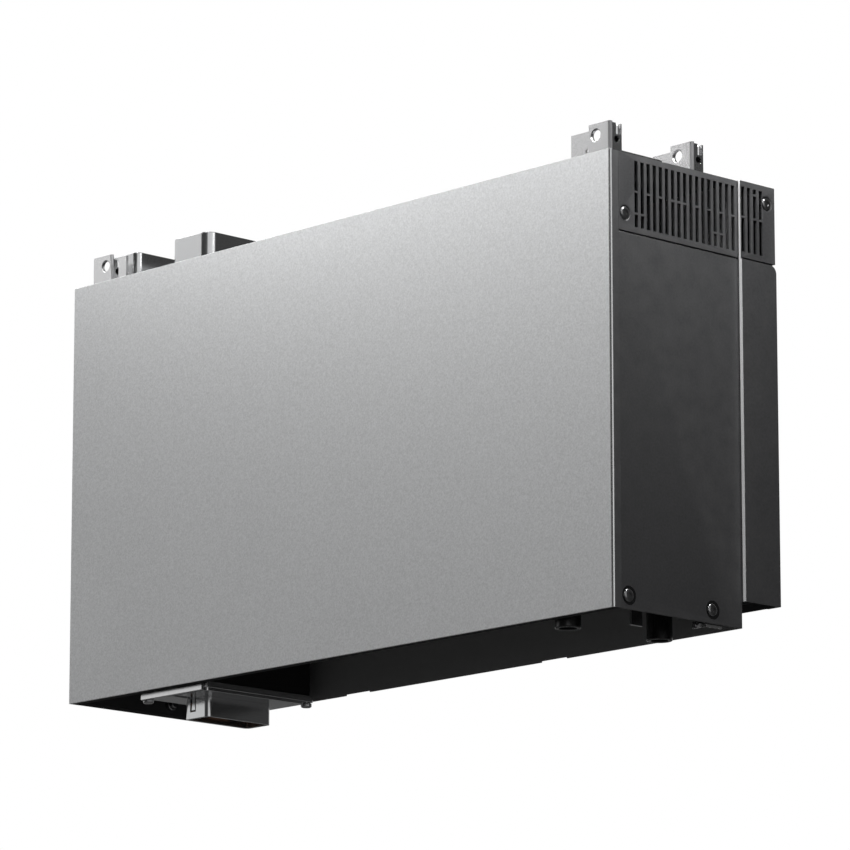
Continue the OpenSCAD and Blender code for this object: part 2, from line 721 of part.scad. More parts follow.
module cells() color("steelblue") hung() for (z = row_z, i = [0 : cell_count - 1]) {
    x = cell_x(i);
    block([x, x + cell_t], cell_y, [z, z + cell_h]);
    for (share = terminal_z)
        block([x + cell_t / 2 - terminal[0] / 2, x + cell_t / 2 + terminal[0] / 2],
              [cell_y[0] - terminal[1], cell_y[0] + eps],
              [z + share * cell_h - terminal[2] / 2, z + share * cell_h + terminal[2] / 2]);
}

module cell_sheets() color("white") hung() for (i = [1 : cell_count - 1], z = row_z)
    block([cell_x(i) - cell_gap, cell_x(i)], cell_y, [z, z + cell_h]);

module cell_pads() color("darkslategray") hung() {
    block([-row_half, row_half], cell_y, pad_z);
    block([-row_half, row_half], [cell_y[1] + strap_t, back_y[0]], [pad_z[1] + 4, stack_z[1] - 4]);
}

module cell_shelf() color("darkslategray") hung()
    block([-row_half, row_half], cell_y, [row_z[0] + cell_h, row_z[1]]);

module end_plates() color("lightgray") hung() for (side = [0, 1]) mirror([side, 0, 0])
    block([row_half, row_half + end_plate_t], cell_y, [floor_z[1], stack_z[1]]);

strap_w = 16;
strap_shares = [0.08, 0.5, 0.92];

module cell_straps() color("silver") hung() for (z = row_z, share = strap_shares) difference() {
    block([-row_half - end_plate_t - strap_t, row_half + end_plate_t + strap_t],
          [cell_y[0] - strap_t, cell_y[1] + strap_t],
          [z + share * cell_h - strap_w / 2, z + share * cell_h + strap_w / 2]);
    block([-row_half - end_plate_t, row_half + end_plate_t], cell_y, [z - eps, z + cell_h + eps]);
}

bar_t = 2;
bar_y = [cell_y[0] - terminal[1] - bar_t, cell_y[0] - terminal[1]];

module bus_bars() color("peru") hung() for (z = row_z, k = [0, 1], i = [k : 2 : cell_count - 2]) {
    mid_z = z + terminal_z[k] * cell_h;
    block([cell_x(i) + cell_t / 2 - terminal[0] / 2, cell_x(i + 1) + cell_t / 2 + terminal[0] / 2], bar_y,
          [mid_z - terminal[2] / 2, mid_z + terminal[2] / 2]);
}

board_t = 1.6;

sense_z = [row_z[0] + terminal_z[1] * cell_h - 2, row_z[1] + terminal_z[0] * cell_h + 2];
spacer_d = 6;

module sense_board() color("green") hung() {
    block([-row_half + 10, row_half - 10], [bar_y[0] - 4 - board_t, bar_y[0] - 4], sense_z);
    for (i = [1, floor(cell_count / 2) - 1, cell_count - 3])
        rod_y(cell_x(i) + cell_t / 2, [bar_y[0] - 4, bar_y[0]], sense_z[0] + 5, spacer_d);
    for (i = [0, floor(cell_count / 2), cell_count - 2])
        rod_y(cell_x(i) + cell_t / 2, [bar_y[0] - 4, bar_y[0]], sense_z[1] - 5, spacer_d);
}

/* Electronics above the cells */

tray_z = [stack_z[1], stack_z[1] + case_t];
bay = tray_z[1];
bay_h = top_z[0] - bay;
bay_x = [-row_half - end_plate_t, inner_x];
bay_y = [cell_y[0], back_y[0]];

module bay_tray() color("silver") hung() {
    block(bay_x, bay_y, tray_z);
    block(bay_x, [bay_y[1] - case_t, bay_y[1]], [bay - eps, bay + 12]);
}

// A board on four spacers, with its lower face at rise above the tray.
module board(x, y, rise) {
    block(x, y, [bay + rise, bay + rise + board_t]);
    for (cx = [x[0] + 6, x[1] - 6], cy = [y[0] + 6, y[1] - 6])
        rod_z(cx, cy, [bay, bay + rise + eps], spacer_d);
}

// Heights in the bay, as shares of its room
sink_top = 0.4 * bay_h;
converter_rise = 0.465 * bay_h;
part_h = 0.26 * bay_h;
sink_base = 6;
board_rise = 10;
fin_gap = 10;

// The heat sink and the converter board stand at the right end, the relay and fuse at the left.
sink_w = 230;
sink_from_end = 96.5;
sink_x = [inner_x - sink_from_end - sink_w, inner_x - sink_from_end];
sink_y = [bay_y[0] + 20, bay_y[1] - 25.1];
board_over = 14;
part_d = 35;
choke_x = [sink_x[0] + 20, sink_x[1] - 20];

module heat_sink() color("lightgray") hung() {
    block(sink_x, sink_y, [bay, bay + sink_base]);
    for (y = [sink_y[0] : fin_gap : sink_y[1] - fin_t])
        block(sink_x, [y, y + fin_t], [bay + sink_base - eps, bay + sink_top]);
}

can_d = 28;
can_shares = [0.13, 0.33, 0.52, 0.72];

module converter_board() color("green") hung() {
    board([sink_x[0] - board_over, sink_x[1] + board_over], [sink_y[0] - 12, sink_y[1] + 12], converter_rise);
    for (share = can_shares)
        rod_z(sink_x[0] + share * sink_w, sink_y[0] + 25,
              [bay + converter_rise + 1, bay + converter_rise + part_h], can_d);
    block(choke_x, [sink_y[1] - 5 - part_d, sink_y[1] - 5],
          [bay + converter_rise + 1, bay + converter_rise + 0.9 * part_h]);
}

fuse_w = 34;
fuse_d = 70;
fuse_x = [power_x[1] + 2, power_x[1] + 2 + fuse_w];
fuse_y = [bay_y[0] + 30, bay_y[0] + 30 + fuse_d];
fuse_r = 11;
fuse_base_h = 10;
fuse_mid = (fuse_x[0] + fuse_x[1]) / 2;
chip_count = 5;
chip_w = 24;
chip_inset = 21;
management_x = [fuse_x[1] + 13, sink_x[0] - board_over - 16];
chip_pitch = (management_x[1] - management_x[0] - 2 * chip_inset - chip_w) / (chip_count - 1);

module management_board() color("green") hung() {
    board(management_x, [bay_y[0] + 10, bay_y[1] - 15], board_rise);
    for (i = [0 : chip_count - 1])
        translate([management_x[0] + chip_inset + chip_pitch * i, bay_y[0] + 32, 0])
            block([0, chip_w], [0, chip_w], [bay + board_rise + 1, bay + board_rise + 5]);
    block([management_x[0] + chip_inset, management_x[1] - chip_inset], [bay_y[1] - 55, bay_y[1] - 35],
          [bay + board_rise + 1, bay + board_rise + 16]);
}

relay_w = 68;
relay_d = 65;
relay_x = [fuse_x[0] - 17 - relay_w, fuse_x[0] - 17];
relay_y = [bay_y[0] + 30, bay_y[0] + 30 + relay_d];
relay_h = 0.7 * (socket_floor_z - bay);
relay_groove = [30, 34];

module relay() color("ivory") hung() difference() {
    block(relay_x, relay_y, [bay, bay + relay_h]);
    block([relay_x[0] + relay_groove[0], relay_x[0] + relay_groove[1]], [relay_y[0] - 1, relay_y[1] + 1],
          [bay + 0.75 * relay_h, bay + relay_h + 1]);
}

module fuse_holder() color("ivory") hung() {
    fuse_z = bay + fuse_base_h + fuse_r + 2;
    block(fuse_x, fuse_y, [bay, bay + fuse_base_h]);
    rod_y(fuse_mid, [fuse_y[0] + 6, fuse_y[1] - 6], fuse_z, 2 * fuse_r);
    for (y = [fuse_y[0] + 2, fuse_y[1] - 10])
        block([fuse_mid - 9, fuse_mid + 9], [y, y + 8], [bay + fuse_base_h - eps, fuse_z + 7]);
}

riser_w = 20;
riser_y = [60, 120];
riser_x = [-inner_x + 4, -inner_x + 6];
riser_foot_h = 8;

module terminal_blocks() color("ivory") hung() {
    block([-row_half - end_plate_t, -row_half + 26], [riser_y[0] - 8, riser_y[1] + riser_w + 8],
          [bay, bay + 10]);
    block([-inner_x, -inner_x + 8], [riser_y[0] - 8, riser_y[1] + riser_w + 8],
          [floor_z[1], floor_z[1] + riser_foot_h]);
}

module riser_bars() color("peru") hung() for (y = riser_y) {
    block(riser_x, [y, y + riser_w], [floor_z[1] + riser_foot_h, bay + 12]);
    block([riser_x[0], -row_half + 20], [y, y + riser_w], [bay + 10, bay + 12]);
}

front_panel();
front_frame();
chassis_back();
chassis_floor();
right_end_wall();
left_end_wall();
top_plate();
right_side_panel();
left_side_panel();
right_grille_cover();
left_grille_cover();
right_rear_panel();
left_rear_panel();
right_trim_strip();
left_trim_strip();
rear_cover();
intake_screen();
wall_rails();
right_front_bracket();
right_rear_bracket();
left_front_bracket();
left_rear_bracket();
power_socket();
signal_socket();
power_contacts();
signal_pins();
junction_box();
junction_lid();
plug_flange();
plug_housing();
plug_latch();
plug_contacts();
lid_knobs();
guide_cups();
latch_hook();
earth_lug();
earth_screw();
side_screws();
grille_screws();
rear_screws();
bracket_screws();
weld_nuts();
cells();
cell_sheets();
cell_pads();
cell_shelf();
end_plates();
cell_straps();
bus_bars();
sense_board();
management_board();
converter_board();
heat_sink();
relay();
fuse_holder();
bay_tray();
terminal_blocks();
riser_bars();
cooling_fins();
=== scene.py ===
"""Looks of the home battery module: finishes, softened sheet metal, turned fittings and the studio round it."""
import json
import logging
import math
from dataclasses import dataclass, field
from enum import Enum
from typing import Callable, Iterable, Optional, Sequence

import bmesh
import bpy
from mathutils import Matrix, Vector

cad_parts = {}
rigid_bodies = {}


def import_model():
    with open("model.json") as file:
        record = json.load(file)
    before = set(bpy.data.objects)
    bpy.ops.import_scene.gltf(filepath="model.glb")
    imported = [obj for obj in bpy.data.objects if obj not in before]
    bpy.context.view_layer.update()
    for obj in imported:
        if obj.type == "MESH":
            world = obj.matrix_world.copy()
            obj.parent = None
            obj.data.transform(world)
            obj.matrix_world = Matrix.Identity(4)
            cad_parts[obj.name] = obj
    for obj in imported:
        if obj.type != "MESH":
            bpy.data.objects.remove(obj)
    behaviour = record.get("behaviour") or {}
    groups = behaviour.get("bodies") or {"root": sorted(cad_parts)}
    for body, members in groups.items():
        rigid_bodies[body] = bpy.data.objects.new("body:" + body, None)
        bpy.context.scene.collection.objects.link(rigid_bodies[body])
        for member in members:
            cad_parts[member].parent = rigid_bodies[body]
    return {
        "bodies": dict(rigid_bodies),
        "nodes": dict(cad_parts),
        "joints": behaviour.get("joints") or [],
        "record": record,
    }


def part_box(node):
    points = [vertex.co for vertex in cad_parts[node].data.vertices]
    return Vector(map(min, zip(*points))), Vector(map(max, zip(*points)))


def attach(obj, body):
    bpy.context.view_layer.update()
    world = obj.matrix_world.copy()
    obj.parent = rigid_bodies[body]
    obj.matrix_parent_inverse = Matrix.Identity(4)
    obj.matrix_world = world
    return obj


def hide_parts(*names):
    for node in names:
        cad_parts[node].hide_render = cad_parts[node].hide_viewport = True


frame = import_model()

LOG = logging.getLogger("battery_module")
MM = 0.001
FRONT_TO_WALL = 238.0
SKIRT_TO_BOLTS = 204.0
Triple = tuple[float, float, float]
EdgeTest = Callable[[Vector, Vector], bool]
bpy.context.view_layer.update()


def at(x: float, y: float, z: float) -> Vector:
    """Turn a place measured from the front lower edge into the row frame.

    Args:
        x: millimetres to the right of the middle.
        y: millimetres behind the front face.
        z: millimetres above the lower edge of the skirt.

    Returns:
        The place in metres, from the middle of the wall bolts.
    """
    return Vector((x, y - FRONT_TO_WALL, z - SKIRT_TO_BOLTS)) * MM


def from_frame(place: Vector) -> Vector:
    """Turn a place in the row frame back into millimetres from the front lower edge."""
    return Vector((place.x / MM, place.y / MM + FRONT_TO_WALL, place.z / MM + SKIRT_TO_BOLTS))


class Grain(Enum):
    """The ways in which a surface's fine texture runs."""

    BLASTED = "blasted"
    PAINTED = "painted"
    PLATED = "plated"
    BRUSHED = "brushed"
    MOULDED = "moulded"


class NodeGraph:
    """A small helper that lays nodes into a tree and joins them."""

    def __init__(self, tree: bpy.types.NodeTree) -> None:
        """Start on a tree, with the first node at the left."""
        self.tree = tree
        self.column = 0

    def node(self, kind: str, label: str, **values: object) -> bpy.types.Node:
        """Add a node and set its properties.

        Args:
            kind: the node's type.
            label: what it is for.
            values: properties of the node.

        Returns:
            The new node.
        """
        made = self.tree.nodes.new(kind)
        made.label = label
        made.location = (self.column * 190.0, 0.0)
        self.column += 1
        for name, value in values.items():
            setattr(made, name, value)
        return made

    def join(self, source: bpy.types.NodeSocket, target: bpy.types.NodeSocket) -> None:
        """Link one socket to another."""
        self.tree.links.new(source, target)

    def maths(self, kind: str, label: str, *parts: object) -> bpy.types.NodeSocket:
        """Add a Math node whose inputs are sockets or plain numbers, and return its output."""
        made = self.node("ShaderNodeMath", label, operation=kind)
        for slot, part in zip(made.inputs, parts):
            if isinstance(part, bpy.types.NodeSocket):
                self.join(part, slot)
            else:
                slot.default_value = part
        return made.outputs[0]


class Effects:
    """The shader node groups that the finishes share, each built once."""

    def __init__(self) -> None:
        """Build every group."""
        self.grain = self._grain_group()
        self.brush = self._brush_group()
        self.clouding = self._clouding_group()
        self.worn_edges = self._worn_edges_group()

    @staticmethod
    def _open(name: str, inputs: Sequence[tuple[str, float]], outputs: Sequence[str]) -> NodeGraph:
        """Make an empty group with named sockets.

        Args:
            name: the group's name.
            inputs: pairs of a socket's name and its value.
            outputs: names of the sockets it gives out.

        Returns:
            The graph of the new group.
        """
        tree = bpy.data.node_groups.new(name, "ShaderNodeTree")
        for label, value in inputs:
            tree.interface.new_socket(label, in_out="INPUT", socket_type="NodeSocketFloat").default_value = value
        for label in outputs:
            tree.interface.new_socket(label, in_out="OUTPUT", socket_type="NodeSocketFloat")
        return NodeGraph(tree)

    @staticmethod
    def _noise(graph: NodeGraph, label: str, detail: float, scale: bpy.types.NodeSocket,
               place: bpy.types.NodeSocket) -> bpy.types.NodeSocket:
        """Add a noise texture and return its level."""
        noise = graph.node("ShaderNodeTexNoise", label)
        noise.inputs["Detail"].default_value = detail
        graph.join(place, noise.inputs["Vector"])
        graph.join(scale, noise.inputs["Scale"])
        return noise.outputs["Fac"]

    def _grain_group(self) -> bpy.types.NodeTree:
        """Even, fine grain with a coarser one under it: blasted metal, powder coat or moulded skin."""
        graph = self._open("fine grain", [("Scale", 900.0), ("Coarse Share", 0.15)], ["Height", "Tone"])
        ins = graph.node("NodeGroupInput", "values")
        place = graph.node("ShaderNodeTexCoord", "place on the object")
        wider = graph.maths("MULTIPLY", "coarse scale", ins.outputs["Scale"], 0.42)
        fine = self._noise(graph, "fine grain", 2.0, ins.outputs["Scale"], place.outputs["Object"])
        coarse = self._noise(graph, "coarse grain", 1.0, wider, place.outputs["Object"])
        blend = graph.node("ShaderNodeMix", "blend of grains", data_type="FLOAT")
        graph.join(ins.outputs["Coarse Share"], blend.inputs["Factor"])
        graph.join(fine, blend.inputs[2])
        graph.join(coarse, blend.inputs[3])
        tone = graph.maths("MULTIPLY_ADD", "tone about nought", blend.outputs[0], 2.0, -1.0)
        outs = graph.node("NodeGroupOutput", "results")
        graph.join(blend.outputs[0], outs.inputs["Height"])
        graph.join(tone, outs.inputs["Tone"])
        return graph.tree

    def _brush_group(self) -> bpy.types.NodeTree:
        """Fine lines along the sheet's rolling direction."""
        graph = self._open("rolling lines", [("Scale", 700.0), ("Stretch", 0.03)], ["Height", "Tone"])
        ins = graph.node("NodeGroupInput", "values")
        place = graph.node("ShaderNodeTexCoord", "place on the object")
        shape = graph.node("ShaderNodeCombineXYZ", "stretch along x")
        graph.join(ins.outputs["Stretch"], shape.inputs["X"])
        shape.inputs["Y"].default_value = 1.0
        shape.inputs["Z"].default_value = 1.0
        stretched = graph.node("ShaderNodeVectorMath", "stretched place", operation="MULTIPLY")
        graph.join(place.outputs["Object"], stretched.inputs[0])
        graph.join(shape.outputs["Vector"], stretched.inputs[1])
        lines = self._noise(graph, "lines", 3.0, ins.outputs["Scale"], stretched.outputs["Vector"])
        tone = graph.maths("MULTIPLY_ADD", "tone about nought", lines, 2.0, -1.0)
        outs = graph.node("NodeGroupOutput", "results")
        graph.join(lines, outs.inputs["Height"])
        graph.join(tone, outs.inputs["Tone"])
        return graph.tree

    def _clouding_group(self) -> bpy.types.NodeTree:
        """Slow variation over a hand's width, as handling and coating leave it."""
        graph = self._open("clouding", [("Scale", 9.0), ("Low", 0.9), ("High", 1.1)], ["Value"])
        ins = graph.node("NodeGroupInput", "values")
        place = graph.node("ShaderNodeTexCoord", "place on the object")
        clouds = self._noise(graph, "clouds", 4.0, ins.outputs["Scale"], place.outputs["Object"])
        spread = graph.node("ShaderNodeMapRange", "spread")
        spread.inputs["From Min"].default_value = 0.3
        spread.inputs["From Max"].default_value = 0.7
        graph.join(clouds, spread.inputs["Value"])
        graph.join(ins.outputs["Low"], spread.inputs["To Min"])
        graph.join(ins.outputs["High"], spread.inputs["To Max"])
        outs = graph.node("NodeGroupOutput", "results")
        graph.join(spread.outputs["Result"], outs.inputs["Value"])
        return graph.tree

    def _worn_edges_group(self) -> bpy.types.NodeTree:
        """A mask that is one along convex edges, broken up as wear is."""
        graph = self._open("worn edges", [("Start", 0.52), ("End", 0.60), ("Break Up", 60.0)], ["Mask"])
        ins = graph.node("NodeGroupInput", "values")
        shape = graph.node("ShaderNodeNewGeometry", "shape of the surface")
        place = graph.node("ShaderNodeTexCoord", "place on the object")
        spots = self._noise(graph, "broken spots", 2.0, ins.outputs["Break Up"], place.outputs["Object"])
        ridge = graph.node("ShaderNodeMapRange", "ridge")
        graph.join(shape.outputs["Pointiness"], ridge.inputs["Value"])
        graph.join(ins.outputs["Start"], ridge.inputs["From Min"])
        graph.join(ins.outputs["End"], ridge.inputs["From Max"])
        broken = graph.maths("MULTIPLY", "broken ridge", ridge.outputs["Result"], spots)
        outs = graph.node("NodeGroupOutput", "results")
        graph.join(broken, outs.inputs["Mask"])
        return graph.tree


@dataclass(frozen=True)
class Finish:
    """One surface finish, and how it becomes a material.

    Attributes:
        name: what the finish is.
        colour: linear red, green and blue.
        metallic: 1 for bare metal, 0 for paint and plastic.
        roughness: how matt it is.
        grain: how its fine texture runs.
        grain_scale: grains per metre.
        grain_depth: how much the grain darkens and lightens the colour.
        relief_mm: height of the grain.
        coat: share of clear coat.
        clouding: how much the roughness wanders.
        specular: level of the mirror-like share of paint and plastic.
        worn: how much paler the edges are.
    """

    name: str
    colour: Triple
    metallic: float = 0.0
    roughness: float = 0.5
    grain: Grain = Grain.PAINTED
    grain_scale: float = 900.0
    grain_depth: float = 0.1
    relief_mm: float = 0.01
    coat: float = 0.0
    clouding: float = 0.08
    specular: float = 0.5
    worn: float = 0.0

    def material(self, effects: Effects) -> bpy.types.Material:
        """Build the material from the shared groups.

        Args:
            effects: the shared node groups.

        Returns:
            The new material.
        """
        made = bpy.data.materials.new(self.name)
        made.use_nodes = True
        graph = NodeGraph(made.node_tree)
        made.node_tree.nodes.clear()
        surface = graph.node("ShaderNodeBsdfPrincipled", self.name)
        surface.inputs["Metallic"].default_value = self.metallic
        surface.inputs["Coat Weight"].default_value = self.coat
        surface.inputs["Specular IOR Level"].default_value = self.specular
        group = graph.node("ShaderNodeGroup", "texture")
        group.node_tree = effects.brush if self.grain is Grain.BRUSHED else effects.grain
        group.inputs["Scale"].default_value = self.grain_scale
        clouds = graph.node("ShaderNodeGroup", "clouding")
        clouds.node_tree = effects.clouding
        clouds.inputs["Low"].default_value = 1 - self.clouding
        clouds.inputs["High"].default_value = 1 + self.clouding
        share = graph.maths("MULTIPLY_ADD", "grain on the colour", group.outputs["Tone"], self.grain_depth, 1.0)
        tint = graph.node("ShaderNodeVectorMath", "shaded colour", operation="SCALE")
        tint.inputs[0].default_value = self.colour
        graph.join(share, tint.inputs["Scale"])
        colour = tint.outputs["Vector"]
        if self.worn:
            colour = self._wear(graph, effects, colour)
        graph.join(colour, surface.inputs["Base Color"])
        rough = graph.maths("MULTIPLY", "roughness", clouds.outputs["Value"], self.roughness)
        graph.join(rough, surface.inputs["Roughness"])
        bump = graph.node("ShaderNodeBump", "relief")
        bump.inputs["Strength"].default_value = 0.6
        bump.inputs["Distance"].default_value = self.relief_mm * MM
        graph.join(group.outputs["Height"], bump.inputs["Height"])
        graph.join(bump.outputs["Normal"], surface.inputs["Normal"])
        output = graph.node("ShaderNodeOutputMaterial", "output")
        graph.join(surface.outputs["BSDF"], output.inputs["Surface"])
        return made

    def _wear(self, graph: NodeGraph, effects: Effects, colour: bpy.types.NodeSocket) -> bpy.types.NodeSocket:
        """Pale the colour along the edges.

        Args:
            graph: the material's graph.
            effects: the shared node groups.
            colour: the colour so far.

        Returns:
            The worn colour.
        """
        ridge = graph.node("ShaderNodeGroup", "edge wear")
        ridge.node_tree = effects.worn_edges
        paler = graph.node("ShaderNodeMix", "worn edge", data_type="RGBA", blend_type="SCREEN")
        worn = graph.maths("MULTIPLY", "share of wear", ridge.outputs["Mask"], self.worn)
        graph.join(worn, paler.inputs["Factor"])
        graph.join(colour, paler.inputs[6])
        paler.inputs[7].default_value = (0.5, 0.5, 0.5, 1.0)
        return paler.outputs[2]


class Finishes:
    """Every finish of the module, made on first use."""

    PALETTE: dict[str, Finish] = {
        "front_silver": Finish("bead-blasted aluminium", (0.56, 0.565, 0.57), 1.0, 0.46, Grain.BLASTED, 620, 0.30,
                               0.012, clouding=0.03),
        # lighter and glossier than the face: the lighter colour is a painted highlight along the rolled edges, and the
        # lower roughness sharpens their reflection
        "rolled_edge_painted_highlight": Finish("rolled edge, lightened as painted highlight", (0.68, 0.685, 0.69), 1.0, 0.27, Grain.PLATED, 900, 0.06, 0.003,
                            clouding=0.03),
        # darker zinc for the brackets' bends: painted shade where the folds turn away from the light
        "bracket_fold_painted_shade": Finish("zinc plate, darkened in the fold as painted shade", (0.20, 0.20, 0.203), 1.0, 0.5, Grain.PLATED, 420, 0.12,
                            0.006),
        "case_graphite": Finish("graphite powder coat", (0.047, 0.047, 0.049), 0.0, 0.46, Grain.PAINTED, 450, 0.42,
                                0.016, worn=0.10),
        "rear_graphite": Finish("graphite paint", (0.045, 0.045, 0.047), 0.0, 0.5, Grain.PAINTED, 900, 0.16, 0.02),
        "trim_aluminium": Finish("drawn aluminium", (0.88, 0.885, 0.89), 0.1, 0.42, Grain.BRUSHED, 900, 0.08, 0.004),
        "chassis_dark": Finish("dark grey paint", (0.040, 0.040, 0.042), 0.0, 0.5, Grain.PAINTED, 900, 0.16, 0.02),
        # near-black painted shade, laid on the front frame's downward faces
        "underside_painted_shade": Finish("near-black painted shade under the frame", (0.006, 0.006, 0.006), 0.0, 0.95, Grain.PLATED, 900, 0.02,
                              0.001),
        "screw_well": Finish("bare bottom of a screw well", (0.10, 0.10, 0.102), 1.0, 0.16, Grain.PLATED, 900, 0.06,
                             0.003),
        "skirt_back": Finish("thin grey primer", (0.23, 0.23, 0.232), 0.0, 0.5, Grain.PAINTED, 900, 0.12, 0.012),
        "bracket_zinc": Finish("satin zinc plate", (0.66, 0.66, 0.665), 1.0, 0.22, Grain.PLATED, 420, 0.10, 0.006),
        "shroud_grey": Finish("satin die casting", (0.58, 0.585, 0.59), 1.0, 0.18, Grain.BLASTED, 900, 0.08, 0.006),
        "black_plastic": Finish("black moulding", (0.012, 0.012, 0.012), 0.0, 0.26, Grain.MOULDED, 1400, 0.16, 0.01),
        "screw_steel": Finish("dark zinc plate", (0.34, 0.34, 0.345), 1.0, 0.24, Grain.PLATED, 900, 0.08, 0.003),
        "black_screw": Finish("black oxide", (0.22, 0.22, 0.223), 1.0, 0.28, Grain.PLATED, 900, 0.1, 0.004),
        "copper": Finish("bare copper", (0.80, 0.42, 0.26), 1.0, 0.34, Grain.BRUSHED, 900, 0.12, 0.003),
        "cell_blue": Finish("blue film wrap", (0.03, 0.10, 0.30), 0.0, 0.3, Grain.MOULDED, 500, 0.08, 0.01, coat=0.2),
        "insulation": Finish("insulation board", (0.10, 0.13, 0.13), 0.0, 0.7, Grain.MOULDED, 700, 0.2, 0.02),
        "end_aluminium": Finish("extruded aluminium", (0.66, 0.665, 0.67), 1.0, 0.4, Grain.BRUSHED, 600, 0.1, 0.004),
        "board_green": Finish("green solder mask", (0.02, 0.16, 0.06), 0.0, 0.35, Grain.MOULDED, 600, 0.1, 0.005,
                              coat=0.3),
        "ivory_plastic": Finish("ivory moulding", (0.68, 0.62, 0.48), 0.0, 0.45, Grain.MOULDED, 900, 0.1, 0.01),
    }

    def __init__(self) -> None:
        """Build the shared groups and start with no materials."""
        self.effects = Effects()
        self.made: dict[str, bpy.types.Material] = {}

    def material(self, slot: str) -> bpy.types.Material:
        """Return the material of one of the record's slots."""
        if slot not in self.made:
            self.made[slot] = self.PALETTE[slot].material(self.effects)
        return self.made[slot]

    def dress(self, piece: bpy.types.Object, slot: str, second_finish: Optional[str] = None) -> None:
        """Give a piece its material.

        Args:
            piece: the piece.
            slot: the record's material slot.
            second_finish: the finish of the marked faces, if it isn't the same; on several pieces it is painted shade
                or a painted highlight.
        """
        if piece.data.materials:
            piece.data.materials.clear()
        piece.data.materials.append(self.material(slot))
        if second_finish:
            piece.data.materials.append(self.material(second_finish))


class Turning:
    """Round parts, turned from a profile as on a lathe, with an axis that may point anywhere."""

    def __init__(self, seat: Vector, axis: Vector, steps: int = 36) -> None:
        """Set the lathe.

        Args:
            seat: where the part's height is nought, in the row frame.
            axis: the direction in which its height grows.
            steps: facets round the part, a multiple of six.
        """
        self.place = Matrix.Translation(seat) @ axis.to_track_quat("Z", "Y").to_matrix().to_4x4()
        self.steps = steps

    def turn(self, body: bmesh.types.BMesh, profile: Sequence[tuple[float, float]]) -> list[bmesh.types.BMVert]:
        """Spin a profile into a skin.

        Args:
            body: the mesh that takes the skin.
            profile: pairs of radius and height, in millimetres.

        Returns:
            The skin's vertices, still upright at the origin.
        """
        line = [bmesh.ops.create_vert(body, co=(radius * MM, 0, height * MM))["vert"][0]
                for radius, height in profile]
        edges = [body.edges.new(pair) for pair in zip(line, line[1:])]
        before = set(body.verts) - set(line)
        bmesh.ops.spin(body, geom=line + edges, cent=(0, 0, 0), axis=(0, 0, 1), angle=math.tau,
                       steps=self.steps, use_merge=True)
        skin = [vert for vert in body.verts if vert not in before]
        bmesh.ops.remove_doubles(body, verts=skin, dist=1e-7)
        return [vert for vert in body.verts if vert not in before]

    def seat_on(self, body: bmesh.types.BMesh, verts: Iterable[bmesh.types.BMVert]) -> None:
        """Carry finished vertices from the lathe to their seat."""
        bmesh.ops.transform(body, matrix=self.place, verts=list(verts))

    def plain(self, body: bmesh.types.BMesh, profile: Sequence[tuple[float, float]]) -> None:
        """Turn a closed part and put it on its seat."""
        self.seat_on(body, self.turn(body, profile))

    def socket_head(self, body: bmesh.types.BMesh, head_d: float, head_h: float, key_w: float,
                    key_depth: float) -> None:
        """Turn a low domed head with a hexagon socket.

        Args:
            body: the mesh that takes the screw head.
            head_d: diameter of the head.
            head_h: height of the head.
            key_w: width across the socket's flats.
            key_depth: depth of the socket.
        """
        radius, flat = head_d / 2, key_w * 0.68
        dome = [(radius, 0.0), (radius, head_h * 0.22)]
        for step in range(1, 7):
            turned = math.radians(90 * step / 6)
            dome.append((flat + (radius - flat) * math.cos(turned), head_h * (0.22 + 0.78 * math.sin(turned))))
        before = set(body.verts)
        self.turn(body, dome)
        rim = [edge for edge in body.edges if edge.is_boundary
               and all(vert not in before and abs(vert.co.z - head_h * MM) < 1e-7 for vert in edge.verts)]
        ring = bmesh.ops.create_circle(body, segments=self.steps, radius=1.0)["verts"]
        for vert in ring:
            corner = math.atan2(vert.co.y, vert.co.x) % math.radians(60) - math.radians(30)
            vert.co = vert.co * (key_w / 2 * MM / math.cos(corner))
            vert.co.z = head_h * MM
        hexagon = list({edge for vert in ring for edge in vert.link_edges})
        bmesh.ops.bridge_loops(body, edges=rim + hexagon)
        walls = bmesh.ops.extrude_edge_only(body, edges=hexagon)["geom"]
        low = [part for part in walls if isinstance(part, bmesh.types.BMVert)]
        bmesh.ops.translate(body, verts=low, vec=(0, 0, -key_depth * MM))
        loop = [part for part in walls if isinstance(part, bmesh.types.BMEdge)
                and all(vert in low for vert in part.verts)]
        bottom = bmesh.ops.edgeloop_fill(body, edges=loop)["faces"]
        drill = bmesh.ops.inset_individual(body, faces=bottom, thickness=key_w * 0.12 * MM)["faces"]
        bmesh.ops.poke(body, faces=bottom, offset=-0.4 * MM)
        self.seat_on(body, [vert for vert in body.verts if vert not in before])
        LOG.debug("socket head with %d rim faces", len(drill))


